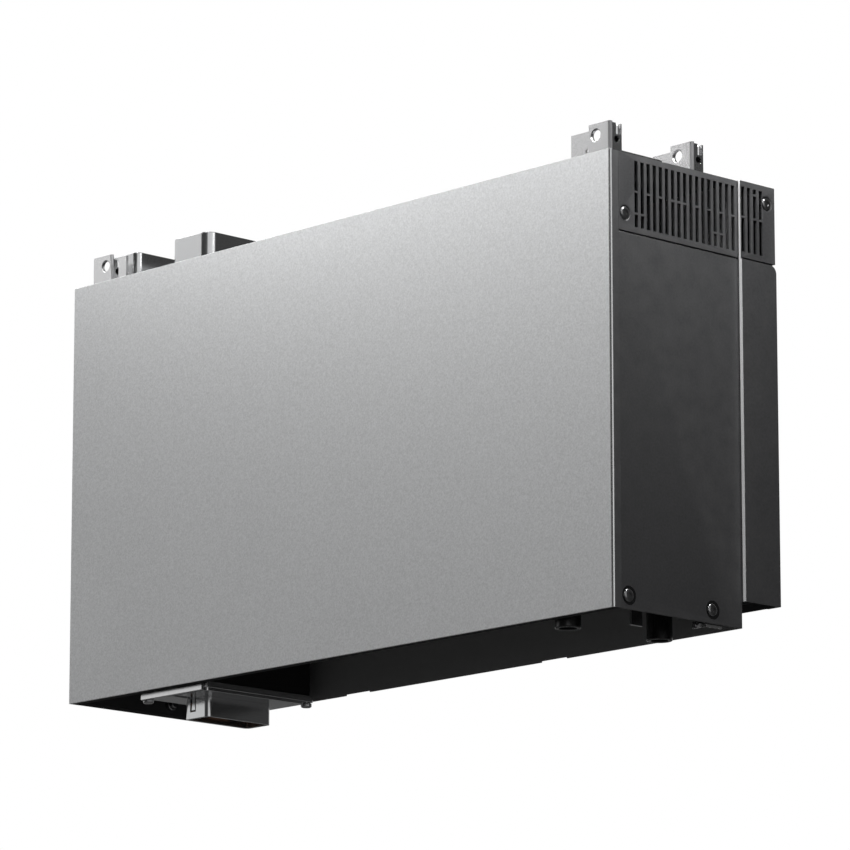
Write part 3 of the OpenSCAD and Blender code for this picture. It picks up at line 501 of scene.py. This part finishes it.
class Workshop:
    """Makes pieces, gives them their finish and hands them to the frame."""

    def __init__(self, loaded: dict[str, object], finishes: Finishes) -> None:
        """Keep the loaded frame and the finishes."""
        self.nodes: dict[str, bpy.types.Object] = loaded["nodes"]
        self.slots: dict[str, str] = {
            entry["node"]: entry["material_slot"] for entry in loaded["record"]["subparts"]
        }
        self.finishes = finishes

    def keep(self, node: str) -> None:
        """Keep a CAD node as it is, with its finish."""
        piece = self.nodes[node]
        for place in piece.material_slots:
            place.material = self.finishes.material(self.slots[node])
        if not piece.material_slots:
            self.finishes.dress(piece, self.slots[node])
        LOG.info("kept %s in %s", node, self.slots[node])

    def copy_of(self, node: str) -> bmesh.types.BMesh:
        """Return a merged copy of a CAD node, with its flat faces whole."""
        body = bmesh.new()
        body.from_mesh(self.nodes[node].data)
        bmesh.ops.remove_doubles(body, verts=body.verts, dist=2e-6)
        bmesh.ops.dissolve_limit(body, angle_limit=math.radians(0.5), verts=body.verts, edges=body.edges,
                                 use_dissolve_boundaries=False)
        return body

    def soften(self, node: str, edge_mm: float, segments: int = 2, slot: Optional[str] = None) -> bpy.types.Object:
        """Stand a copy with rounded edges in for a CAD node.

        Args:
            node: the CAD node.
            edge_mm: width of the rounding.
            segments: steps across the rounding.
            slot: the finish, if it isn't the node's own.

        Returns:
            The new piece.
        """
        return self.finish_piece(f"{node}_dressed", self.copy_of(node), slot or self.slots[node], [node], edge_mm,
                                 segments)

    @staticmethod
    def mark(faces: Iterable[bmesh.types.BMFace]) -> None:
        """Mark faces, so that they take a piece's second finish."""
        for face in faces:
            face.material_index = 1

    def fold(self, body: bmesh.types.BMesh, radius_mm: float, test: EdgeTest, segments: int = 5) -> None:
        """Round the edges of a fold or roll, and mark the new faces.

        Args:
            body: the mesh.
            radius_mm: radius of the fold.
            test: tells a fold's edge by its two ends, in millimetres from the front lower edge.
            segments: steps across the fold.
        """
        picked = [edge for edge in body.edges if len(edge.link_faces) == 2
                  and test(from_frame(edge.verts[0].co), from_frame(edge.verts[1].co))]
        made = bmesh.ops.bevel(body, geom=picked, offset=radius_mm * MM, offset_type="OFFSET", affect="EDGES",
                               segments=segments, profile=0.5, material=-1, clamp_overlap=True)
        self.mark(made["faces"])
        LOG.debug("folded %d edges", len(picked))

    def finish_piece(self, name: str, body: bmesh.types.BMesh, slot: str, stands_for: Iterable[str] = (),
                     edge_mm: float = 0.0, segments: int = 2, smooth_deg: float = 22.0,
                     second_finish: Optional[str] = None) -> bpy.types.Object:
        """Turn a bmesh into a piece that rides on the case.

        Args:
            name: the piece's name.
            body: the shape, which is freed.
            slot: the record's material slot.
            stands_for: CAD nodes that it replaces.
            edge_mm: width of a rounding on its sharp edges, or nought for none.
            segments: steps across the rounding.
            smooth_deg: angle up to which neighbouring faces shade as one.
            second_finish: the finish of its marked faces, if it isn't the same.

        Returns:
            The new piece.
        """
        mesh = bpy.data.meshes.new(name)
        body.to_mesh(mesh)
        body.free()
        piece = bpy.data.objects.new(name, mesh)
        bpy.context.scene.collection.objects.link(piece)
        mesh.shade_smooth()
        mesh.set_sharp_from_angle(angle=math.radians(smooth_deg))
        if edge_mm:
            rounding = piece.modifiers.new("rounded edges", "BEVEL")
            rounding.width = edge_mm * MM
            rounding.segments = segments
            rounding.limit_method = "ANGLE"
            rounding.angle_limit = math.radians(40)
        evening = piece.modifiers.new("even shading", "WEIGHTED_NORMAL")
        evening.keep_sharp = True
        evening.weight = 100
        self.finishes.dress(piece, slot, second_finish)
        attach(piece, "root")
        if stands_for:
            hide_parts(*stands_for)
        LOG.info("made %s in %s", name, slot)
        return piece


@dataclass
class FrontPanel:
    """The blasted front sheet, rolled over at its right end and softly broken along its other edges."""

    right_roll: float = 3.0
    other_roll: float = 0.8
    steps: int = 6
    land: float = 0.1
    near: float = 0.001

    def build(self, shop: Workshop) -> None:
        """Make the sheet in the CAD panel's place and roll its front edges."""
        low, high = (Vector(corner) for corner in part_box("front_panel"))
        depth = (self.right_roll + self.land) * MM
        body = bmesh.new()
        bmesh.ops.create_cube(body, size=1.0)
        bmesh.ops.scale(body, vec=(high.x - low.x, depth, high.z - low.z), verts=body.verts)
        bmesh.ops.translate(body, vec=((low.x + high.x) / 2, high.y - depth / 2, (low.z + high.z) / 2),
                            verts=body.verts)
        left, right, back = from_frame(low).x, from_frame(high).x, from_frame(high).y
        shop.fold(body, self.right_roll, lambda a, b: min(a.x, b.x) > right - self.near
                  and max(a.y, b.y) < back - self.right_roll, self.steps)
        squash = Matrix.Translation((0, high.y, 0)) @ Matrix.Diagonal((1, (high.y - low.y) / depth, 1, 1))
        bmesh.ops.transform(body, matrix=squash @ Matrix.Translation((0, -high.y, 0)), verts=body.verts)
        for level in (from_frame(low).z, from_frame(high).z):
            shop.fold(body, self.other_roll, lambda a, b: max(abs(a.z - level), abs(b.z - level)) < self.near
                      and max(a.y, b.y) < back - self.land, self.steps)
        front = from_frame(low).y
        shop.fold(body, self.other_roll, lambda a, b: max(a.x, b.x) < left + self.near
                  and max(a.y, b.y) < front + self.land + self.other_roll, self.steps)
        # the rolled faces take the lighter metal, a painted highlight along the rolls
        shop.finish_piece("front_panel_rolled", body, shop.slots["front_panel"], ["front_panel"], smooth_deg=35.0,
                          second_finish="rolled_edge_painted_highlight")


@dataclass
class CaseShell:
    """The outer sheets of the case."""

    softened: dict[str, float] = field(default_factory=lambda: {
        "right_rear_panel": 0.5, "left_rear_panel": 0.5,
        "rear_cover": 0.4, "top_plate": 0.3,
    })
    # distance from the middle inside which the trim's face carries painted shade
    painted_shade_until: float = 401.6
    half_w: float = 400.0
    well_reach: float = 9.5
    well_depth: float = 4.0
    skin: float = 0.02
    kept: tuple[str, ...] = ("chassis_floor", "right_end_wall", "left_end_wall", "intake_screen")

    def build(self, shop: Workshop) -> None:
        """Dress the shell's sheets."""
        for node, edge in self.softened.items():
            shop.soften(node, edge)
        shop.finishes.dress(shop.soften("chassis_back", 0.3), "skirt_back")
        self._frame(shop)
        for side in ("right", "left"):
            self._side_panel(shop, f"{side}_side_panel")
            self._trim(shop, f"{side}_trim_strip")
        for node in self.kept:
            shop.keep(node)

    def _frame(self, shop: Workshop) -> None:
        """Dress the front frame, and give its lower side a near-black finish as painted shade under the front panel.
        """
        body = shop.copy_of("front_frame")
        # painted shade: the frame's downward faces take a near-black finish so that its lower edge reads dark
        shop.mark(face for face in body.faces if face.normal.z < -0.5)
        shop.finish_piece("front_frame_dressed", body, shop.slots["front_frame"], ["front_frame"],
                          second_finish="underside_painted_shade")

    def _side_panel(self, shop: Workshop, node: str) -> None:
        """Dress a side panel, and leave its screw wells bare."""
        body = shop.copy_of(node)
        shop.mark(face for face in body.faces if self._in_well(face))
        shop.finish_piece(f"{node}_dressed", body, shop.slots[node], [node], 0.3, second_finish="screw_well")

    def _in_well(self, face: bmesh.types.BMFace) -> bool:
        """Tell whether a side panel's face lies inside one of its screw wells."""
        ends = [from_frame(vert.co) for vert in face.verts]
        inside = any(all(math.hypot(end.y - depth, end.z - height) < self.well_reach for end in ends)
                     for depth, height in Fasteners.side_places)
        sunk = self.half_w - abs(from_frame(face.calc_center_median()).x)
        return inside and self.skin < sunk < self.well_depth

    def _trim(self, shop: Workshop, node: str) -> None:
        """Dress a trim strip: the outer part of its face stays bright, while the inner part next to the side panel and
        its sideways faces take the dark case paint as painted shade.
        """
        body = shop.copy_of(node)
        sign = 1 if node.startswith("right") else -1
        bmesh.ops.bisect_plane(body, geom=[*body.verts, *body.edges, *body.faces], dist=1e-6,
                               plane_co=(sign * self.painted_shade_until * MM, 0, 0), plane_no=(1, 0, 0))
        # painted shade: the inner part of the face and the sideways faces take the case's graphite, standing in for
        # the front block's shadow and for shaded edges
        shop.mark(face for face in body.faces
                  if abs(face.calc_center_median().x) < self.painted_shade_until * MM or abs(face.normal.x) > 0.5)
        shop.finish_piece(f"{node}_dressed", body, shop.slots[node], [node], 0.1, second_finish="case_graphite")


@dataclass
class SideGrilles:
    """The slotted covers at the top of both sides."""

    edge: float = 0.3

    def build(self, shop: Workshop) -> None:
        """Dress both grille covers."""
        for side in ("right", "left"):
            shop.soften(f"{side}_grille_cover", self.edge)


@dataclass
class StackBrackets:
    """The four folded brackets on the top."""

    case_top: float = 445.5
    sheet: float = 3.0
    outer_fold: float = 3.4
    inner_fold: float = 1.0
    edge: float = 0.3
    right_face: float = 395.5
    left_web_face: float = -345.3
    front_y: float = 4.5
    pitch: float = 113.5
    screw_at: tuple[float, float] = (385.5, 72.0)
    pin_d: float = 5.0
    pin_back: float = 11.0
    pin_top: float = 27.6
    slot_foot: float = 18.0
    insert_bore: float = 3.45
    insert_wall: float = 0.8
    insert_depth: float = 4.0
    insert_at: tuple[float, float] = (9.0, 13.0)
    left_web_drop: float = 3.5
    steps: int = 24

    def build(self, shop: Workshop) -> None:
        """Dress the brackets and the foot's screw."""
        for place in ("right_front", "right_rear", "left_front", "left_rear"):
            self._bracket(shop, place)
        self._foot_screw(shop)

    def _bracket(self, shop: Workshop, place: str) -> None:
        """Round one bracket's folds and its sheared edges, and darken the folds' faces as painted shade.

        Args:
            shop: the workshop.
            place: which of the four brackets.
        """
        front = self.front_y + (self.pitch if place.endswith("rear") else 0.0)
        side = self.right_face if place.startswith("right") else self.left_web_face
        body = shop.copy_of(f"{place}_bracket")

        def on(value: float, *ends: float) -> bool:
            """Tell whether both ends of an edge lie at a value."""
            return all(abs(end - value) < 0.05 for end in ends)

        sheet, top = self.sheet, self.case_top
        shop.fold(body, self.inner_fold, lambda a, b: on(side - sheet, a.x, b.x) and on(front + sheet, a.y, b.y))
        shop.fold(body, self.outer_fold, lambda a, b: on(side, a.x, b.x) and on(front, a.y, b.y))
        shop.fold(body, self.inner_fold, lambda a, b: on(front + sheet, a.y, b.y) and on(top + sheet, a.z, b.z))
        # painted shade: the faces of the three rounded folds take the darker zinc
        shop.finish_piece(f"{place}_bracket_dressed", body, shop.slots[f"{place}_bracket"], [f"{place}_bracket"],
                          self.edge, second_finish="bracket_fold_painted_shade")
        self._pin(shop, place, side, front)

    def _pin(self, shop: Workshop, place: str, side: float, front: float) -> None:
        """Stand a locating pin in the slot of a bracket's web, and put a blind cap behind its hole.

        Args:
            shop: the workshop.
            place: which of the four brackets.
            side: the web's outer face.
            front: the bracket's front face.
        """
        body = bmesh.new()
        radius, drop = self.pin_d / 2, 0.0 if place.startswith("right") else self.left_web_drop
        height = self.pin_top - drop - self.slot_foot
        seat = at(side - radius, front + self.pin_back, self.case_top + self.slot_foot)
        Turning(seat, Vector((0, 0, 1)), self.steps).plain(body, [
            (0.0, 0.0), (radius, 0.0), (radius, height - 0.8), (radius * 0.82, height - 0.15), (radius * 0.6, height),
            (0.0, height),
        ])
        pin_faces = len(body.faces)
        bore, wall, deep = self.insert_bore, self.insert_bore + self.insert_wall, self.insert_depth
        seat = at(side - self.sheet, front + self.insert_at[0], self.case_top + self.insert_at[1])
        Turning(seat, Vector((-1, 0, 0)), self.steps).plain(body, [
            (0.0, deep), (bore, deep), (bore, 0.0), (wall, 0.0), (wall, deep + self.insert_wall),
            (0.0, deep + self.insert_wall),
        ])
        shop.mark(list(body.faces)[pin_faces:])
        shop.finish_piece(f"{place}_bracket_pin", body, "bracket_zinc", smooth_deg=35.0, second_finish="black_plastic")

    def _foot_screw(self, shop: Workshop) -> None:
        """Make the screw in the long foot."""
        body = bmesh.new()
        top = self.case_top + self.sheet
        Turning(at(*self.screw_at, top), Vector((0, 0, 1)), self.steps).socket_head(body, 8.0, 2.2, 3.0, 1.2)
        Turning(at(*self.screw_at, self.case_top), Vector((0, 0, 1)), self.steps).plain(
            body, [(0.0, 0.0), (1.95, 0.0), (1.95, self.sheet), (0.0, self.sheet)])
        shop.finish_piece("bracket_screw", body, "screw_steel", ["bracket_screws"])


@dataclass
class TopConnectors:
    """The two shrouds on the top, with their contacts."""

    edge: float = 0.6

    def build(self, shop: Workshop) -> None:
        """Dress the shrouds and contacts."""
        shop.soften("power_socket", self.edge, 3)
        shop.soften("signal_socket", self.edge, 3)
        shop.soften("power_contacts", 0.3)
        shop.soften("signal_pins", 0.3)


@dataclass
class SkirtFittings:
    """What hangs in the open skirt: the junction box with its plug, the cups, the hook and the earth lug."""

    softened: dict[str, float] = field(default_factory=lambda: {
        "junction_box": 0.4, "plug_flange": 0.3, "plug_housing": 0.7, "plug_latch": 0.3,
        "plug_contacts": 0.3, "guide_cups": 1.0, "latch_hook": 0.4, "earth_lug": 0.4,
    })
    knob_d: float = 11.5
    knob_drop: float = 5.5
    knob_top: float = -4.0
    knobs: tuple[tuple[float, float], ...] = ((-295.5, 20.0), (-295.5, 158.0), (-204.5, 158.0))
    hem_x: tuple[float, float] = (-297.0, -201.5)
    hem_y: tuple[float, float] = (10.6, 14.6)
    hem_z: tuple[float, float] = (-7.1, -0.2)
    earth_x: float = 386.5
    earth_z: float = 0.5
    earth_y: float = 130.0

    def build(self, shop: Workshop) -> None:
        """Dress the fittings."""
        for node, edge in self.softened.items():
            shop.soften(node, edge, 3)
        self._lid(shop)
        self._knobs(shop)
        self._earth_screw(shop)

    def _lid(self, shop: Workshop) -> None:
        """Dress the lid, and give its front edge a hem that shows under the front panel."""
        body = shop.copy_of("junction_lid")
        low, high = at(self.hem_x[0], self.hem_y[0], self.hem_z[0]), at(self.hem_x[1], self.hem_y[1], self.hem_z[1])
        hem = bmesh.ops.create_cube(body, size=1.0)["verts"]
        bmesh.ops.scale(body, vec=high - low, verts=hem)
        bmesh.ops.translate(body, vec=(low + high) / 2, verts=hem)
        shop.finish_piece("junction_lid_dressed", body, shop.slots["junction_lid"], ["junction_lid"], 0.5, 3)

    def _knobs(self, shop: Workshop) -> None:
        """Turn the lid's three round-nosed studs."""
        body = bmesh.new()
        radius, drop = self.knob_d / 2, self.knob_drop
        for x, y in self.knobs:
            Turning(at(x, y, self.knob_top), Vector((0, 0, -1)), 30).plain(body, [
                (0.0, 0.0), (radius * 0.8, 0.0), (radius * 0.8, 1.0), (radius, 1.3), (radius, drop * 0.72),
                (radius * 0.93, drop * 0.86), (radius * 0.72, drop * 0.97), (radius * 0.5, drop), (0.0, drop),
            ])
        shop.finish_piece("lid_knobs_turned", body, shop.slots["lid_knobs"], ["lid_knobs"], smooth_deg=35.0)

    def _earth_screw(self, shop: Workshop) -> None:
        """Make the screw of the earth lug."""
        body = bmesh.new()
        seat = at(self.earth_x, self.earth_y, self.earth_z)
        Turning(seat, Vector((0, -1, 0)), 24).socket_head(body, 7.0, 3.0, 2.6, 1.4)
        Turning(seat, Vector((0, 1, 0)), 24).plain(body, [(0.0, 0.0), (2.0, 0.0), (2.0, 7.5), (1.6, 8.0), (0.0, 8.0)])
        shop.finish_piece("earth_screw_turned", body, "screw_steel", ["earth_screw"])


@dataclass
class Fasteners:
    """Screws and nuts."""

    half_w: float = 400.0
    rear_half: float = 404.0
    head_sink: float = 1.2
    side_places: tuple[tuple[float, float], ...] = ((20.9, 13.2), (135.5, 13.2))
    grille_front: tuple[float, float] = (19.8, 385.7)
    grille_rear: tuple[float, float] = (215.0, 428.0)
    rear_x: float = 398.0
    rear_y: float = 226.0
    rear_heights: tuple[float, ...] = (109.0, 297.5, 415.5)

    def build(self, shop: Workshop) -> None:
        """Make the screws and dress the nuts."""
        self._side_screws(shop)
        self._grille_screws(shop)
        self._rear_screws(shop)
        shop.soften("weld_nuts", 0.5)

    def _into_side(self, body: bmesh.types.BMesh, side: int, face: float, place: tuple[float, float],
                   head: tuple[float, float, float], shank: tuple[float, float]) -> None:
        """Put one socket screw into an end of the case.

        Args:
            body: the mesh that takes the screw.
            side: 1 for the right end, -1 for the left.
            face: distance of the outer face from the middle.
            place: distance behind the front face, and height.
            head: diameter and height of the head, and the socket's width.
            shank: diameter and length of the shank.
        """
        seat = at(side * (face - self.head_sink), *place)
        out = Vector((side, 0, 0))
        Turning(seat, out).socket_head(body, head[0], head[1], head[2], head[1] * 0.3)
        half, length = shank[0] / 2, shank[1]
        Turning(seat, -out, 24).plain(body, [(0.0, 0.0), (half, 0.0), (half, length - 0.8), (half - 0.8, length),
                                             (0.0, length)])

    def _side_screws(self, shop: Workshop) -> None:
        """Make the four screws of the side panels."""
        body = bmesh.new()
        for side in (1, -1):
            for place in self.side_places:
                self._into_side(body, side, self.half_w, place, (12.6, 2.2, 5.0), (8.0, 12.0))
        shop.finish_piece("side_screws_turned", body, shop.slots["side_screws"], ["side_screws"], smooth_deg=28.0)

    def _grille_screws(self, shop: Workshop) -> None:
        """Make the four screws of the grille covers."""
        body = bmesh.new()
        for side in (1, -1):
            self._into_side(body, side, self.half_w, self.grille_front, (12.0, 2.0, 5.0), (6.0, 8.0))
            self._into_side(body, side, self.rear_half, self.grille_rear, (12.0, 2.0, 5.0), (6.0, 8.0))
        shop.finish_piece("grille_screws_turned", body, shop.slots["grille_screws"], ["grille_screws"],
                          smooth_deg=28.0)

    def _rear_screws(self, shop: Workshop) -> None:
        """Make the six screws at the back."""
        body = bmesh.new()
        for x in (self.rear_x, -self.rear_x):
            for z in self.rear_heights:
                seat = at(x, self.rear_y, z)
                Turning(seat, Vector((0, 1, 0)), 24).socket_head(body, 6.4, 1.4, 2.2, 0.8)
                Turning(seat, Vector((0, -1, 0)), 18).plain(body, [(0.0, 0.0), (1.45, 0.0), (1.45, 6.0), (0.0, 6.0)])
        shop.finish_piece("rear_screws_turned", body, shop.slots["rear_screws"], ["rear_screws"])


@dataclass
class WallSide:
    """The rails on the wall and the fins inside the rear block."""

    def build(self, shop: Workshop) -> None:
        """Dress the rails and fins."""
        shop.soften("wall_rails", 0.6, 3)
        shop.keep("cooling_fins")


@dataclass
class Inside:
    """The cells and the electronics, which the case hides."""

    nodes: tuple[str, ...] = (
        "cells", "cell_sheets", "cell_pads", "cell_shelf", "end_plates", "cell_straps", "bus_bars", "sense_board",
        "bay_tray", "management_board", "converter_board", "heat_sink", "relay", "fuse_holder", "terminal_blocks",
        "riser_bars",
    )

    def build(self, shop: Workshop) -> None:
        """Dress the inner parts."""
        for node in self.nodes:
            shop.keep(node)


@dataclass(frozen=True)
class SoftBox:
    """One area lamp.

    Attributes:
        name: what it does.
        place: where it stands, in metres.
        aim: what it points at.
        size: width and height in metres.
        power: watts.
    """

    name: str
    place: Triple
    aim: Triple
    size: tuple[float, float]
    power: float

    def build(self) -> None:
        """Put the lamp into the scene."""
        data = bpy.data.lights.new(self.name, "AREA")
        data.shape = "RECTANGLE"
        data.size, data.size_y = self.size
        data.energy = self.power
        lamp = bpy.data.objects.new(self.name, data)
        lamp.location = self.place
        lamp.rotation_mode = "QUATERNION"
        lamp.rotation_quaternion = (Vector(self.aim) - Vector(self.place)).to_track_quat("-Z", "Y")
        lamp.visible_camera = False
        bpy.context.scene.collection.objects.link(lamp)


@dataclass
class Studio:
    """Camera, lamps, floor and world."""

    camera_place: Triple = (3.8794, -3.5439 - 0.238, -0.8867 - 0.204)
    camera_right: Triple = (0.68806, 0.72566, 0.0)
    camera_up: Triple = (0.15174, -0.14388, 0.97790)
    lens: float = 226.76
    floor_z: float = -1.5
    floor_grey: float = 0.35
    floor_pale: float = 0.85
    floor_lift: float = 0.5
    fill: float = 0.145
    ceiling: float = 0.08
    wall_top: tuple[float, float] = (0.38, 0.60)
    reflected: tuple[tuple[float, float], ...] = (
        (-180, 0.6), (-140, 0.72), (-90, 0.88), (-46, 0.88), (-40, 0.2), (-33, 0.05), (28, 0.05), (38, 0.8),
        (70, 0.92), (106, 0.88), (112, 0.06), (165, 0.06), (180, 0.6),
    )
    boxes: tuple[SoftBox, ...] = (
        SoftBox("left front box", (-0.9, -0.7, 0.8), (0.0, -0.24, 0.2), (0.6, 0.4), 3.95),
        SoftBox("front box", (0.0, -0.75, 0.8), (0.1, -0.24, 0.2), (0.5, 0.3), 3.9),
        SoftBox("high front box", (-0.2, -0.95, 1.05), (0.0, -0.24, 0.2), (0.8, 0.4), 1.0),
        SoftBox("right top box", (0.56, -0.12, 0.66), (0.4, -0.12, 0.1), (0.16, 0.3), 7.3),
        SoftBox("right front box", (0.98, -1.82, 1.79), (0.2, -0.15, -0.05), (0.8, 0.8), 21.0),
        SoftBox("back box", (-0.7, 1.6, 0.9), (0.0, 0.0, 0.1), (0.8, 0.6), 12.0),
    )

    def build(self) -> None:
        """Make the whole studio."""
        self._camera()
        self._world()
        self._floor()
        for box in self.boxes:
            box.build()
        bpy.context.scene.view_settings.view_transform = "Standard"

    def _camera(self) -> None:
        """Stand the camera where the photograph was taken from."""
        data = bpy.data.cameras.new("studio camera")
        data.lens = self.lens
        data.sensor_width = 36.0
        data.clip_end = 60.0
        camera = bpy.data.objects.new("studio camera", data)
        right, up = Vector(self.camera_right), Vector(self.camera_up)
        turn = Matrix((right, up, right.cross(up))).transposed().to_4x4()
        camera.matrix_world = Matrix.Translation(Vector(self.camera_place)) @ turn
        bpy.context.scene.collection.objects.link(camera)
        bpy.context.scene.camera = camera

    def _world(self) -> None:
        """White where the camera and glass look, pale panels where gloss looks, and a plain soft fill for the rest."""
        world = bpy.data.worlds.new("studio")
        bpy.context.scene.world = world
        world.use_nodes = True
        world.node_tree.nodes.clear()
        graph = NodeGraph(world.node_tree)
        path = graph.node("ShaderNodeLightPath", "kind of ray")
        panels = self._panels(graph)
        soft = graph.node("ShaderNodeMix", "fill or reflected studio", data_type="FLOAT")
        soft.inputs[2].default_value = self.fill
        graph.join(path.outputs["Is Glossy Ray"], soft.inputs["Factor"])
        graph.join(panels, soft.inputs[3])
        shown = graph.maths("MAXIMUM", "camera or glass", path.outputs["Is Camera Ray"],
                            path.outputs["Is Transmission Ray"])
        level = graph.maths("MAXIMUM", "white to the camera", soft.outputs[0], shown)
        glow = graph.node("ShaderNodeBackground", "studio")
        glow.inputs["Color"].default_value = (1, 1, 1, 1)
        graph.join(level, glow.inputs["Strength"])
        output = graph.node("ShaderNodeOutputWorld", "output")
        graph.join(glow.outputs["Background"], output.inputs["Surface"])

    def _panels(self, graph: NodeGraph) -> bpy.types.NodeSocket:
        """Lay pale panels and dark gaps round the studio, by bearing.

        Args:
            graph: the world's graph.

        Returns:
            The level of the studio's walls in each direction.
        """
        place = graph.node("ShaderNodeTexCoord", "direction")
        split = graph.node("ShaderNodeSeparateXYZ", "parts of the direction")
        graph.join(place.outputs["Generated"], split.inputs["Vector"])
        ahead = graph.maths("MULTIPLY", "towards the front", split.outputs["Y"], -1.0)
        bearing = graph.maths("ARCTAN2", "bearing from the front", split.outputs["X"], ahead)
        share = graph.maths("MULTIPLY_ADD", "bearing as a share", bearing, 1 / math.tau, 0.5)
        ramp = graph.node("ShaderNodeValToRGB", "pale panels and dark gaps")
        stops = ramp.color_ramp.elements
        while len(stops) < len(self.reflected):
            stops.new(0.5)
        for stop, (degrees, level) in zip(stops, self.reflected):
            stop.position = (degrees + 180) / 360
            stop.color = (level, level, level, 1)
        graph.join(share, ramp.inputs["Fac"])
        overhead = graph.node("ShaderNodeMapRange", "share of the ceiling", interpolation_type="SMOOTHSTEP")
        overhead.inputs["From Min"].default_value, overhead.inputs["From Max"].default_value = self.wall_top
        graph.join(split.outputs["Z"], overhead.inputs["Value"])
        walls = graph.node("ShaderNodeMix", "walls or ceiling", data_type="FLOAT")
        graph.join(overhead.outputs["Result"], walls.inputs["Factor"])
        graph.join(ramp.outputs["Color"], walls.inputs[2])
        walls.inputs[3].default_value = self.ceiling
        return walls.outputs[0]

    def _floor(self) -> None:
        """Lay the plain floor well below the module: pale to the camera, and open to it from underneath."""
        body = bmesh.new()
        bmesh.ops.create_grid(body, x_segments=1, y_segments=1, size=12.0)
        bmesh.ops.translate(body, verts=body.verts, vec=(0, 0, self.floor_z))
        mesh = bpy.data.meshes.new("floor")
        body.to_mesh(mesh)
        body.free()
        floor = bpy.data.objects.new("floor", mesh)
        bpy.context.scene.collection.objects.link(floor)
        paint = bpy.data.materials.new("pale floor")
        paint.use_nodes = True
        graph = NodeGraph(paint.node_tree)
        surface = paint.node_tree.nodes["Principled BSDF"]
        surface.inputs["Roughness"].default_value = 0.9
        surface.inputs["Specular IOR Level"].default_value = 0.0
        surface.inputs["Emission Color"].default_value = (1, 1, 1, 1)
        path = graph.node("ShaderNodeLightPath", "kind of ray")
        grey = graph.node("ShaderNodeMapRange", "pale to the camera")
        grey.inputs["To Min"].default_value = self.floor_grey
        grey.inputs["To Max"].default_value = self.floor_pale
        graph.join(path.outputs["Is Camera Ray"], grey.inputs["Value"])
        graph.join(grey.outputs["Result"], surface.inputs["Base Color"])
        glow = graph.maths("MULTIPLY", "lift to the camera", path.outputs["Is Camera Ray"], self.floor_lift)
        graph.join(glow, surface.inputs["Emission Strength"])
        under = graph.node("ShaderNodeNewGeometry", "which side")
        clear = graph.node("ShaderNodeBsdfTransparent", "open from underneath")
        either = graph.node("ShaderNodeMixShader", "floor or nothing")
        graph.join(under.outputs["Backfacing"], either.inputs["Fac"])
        graph.join(surface.outputs["BSDF"], either.inputs[1])
        graph.join(clear.outputs["BSDF"], either.inputs[2])
        graph.join(either.outputs["Shader"], paint.node_tree.nodes["Material Output"].inputs["Surface"])
        mesh.materials.append(paint)


def main() -> None:
    """Build every sub-assembly, then the studio."""
    logging.basicConfig(level=logging.INFO, format="%(message)s")
    shop = Workshop(frame, Finishes())
    for part in (FrontPanel(), CaseShell(), SideGrilles(), StackBrackets(), TopConnectors(), SkirtFittings(),
                 Fasteners(), WallSide(), Inside()):
        LOG.info("building %s", type(part).__name__)
        part.build(shop)
    Studio().build()


if __name__ == "__main__":
    main()
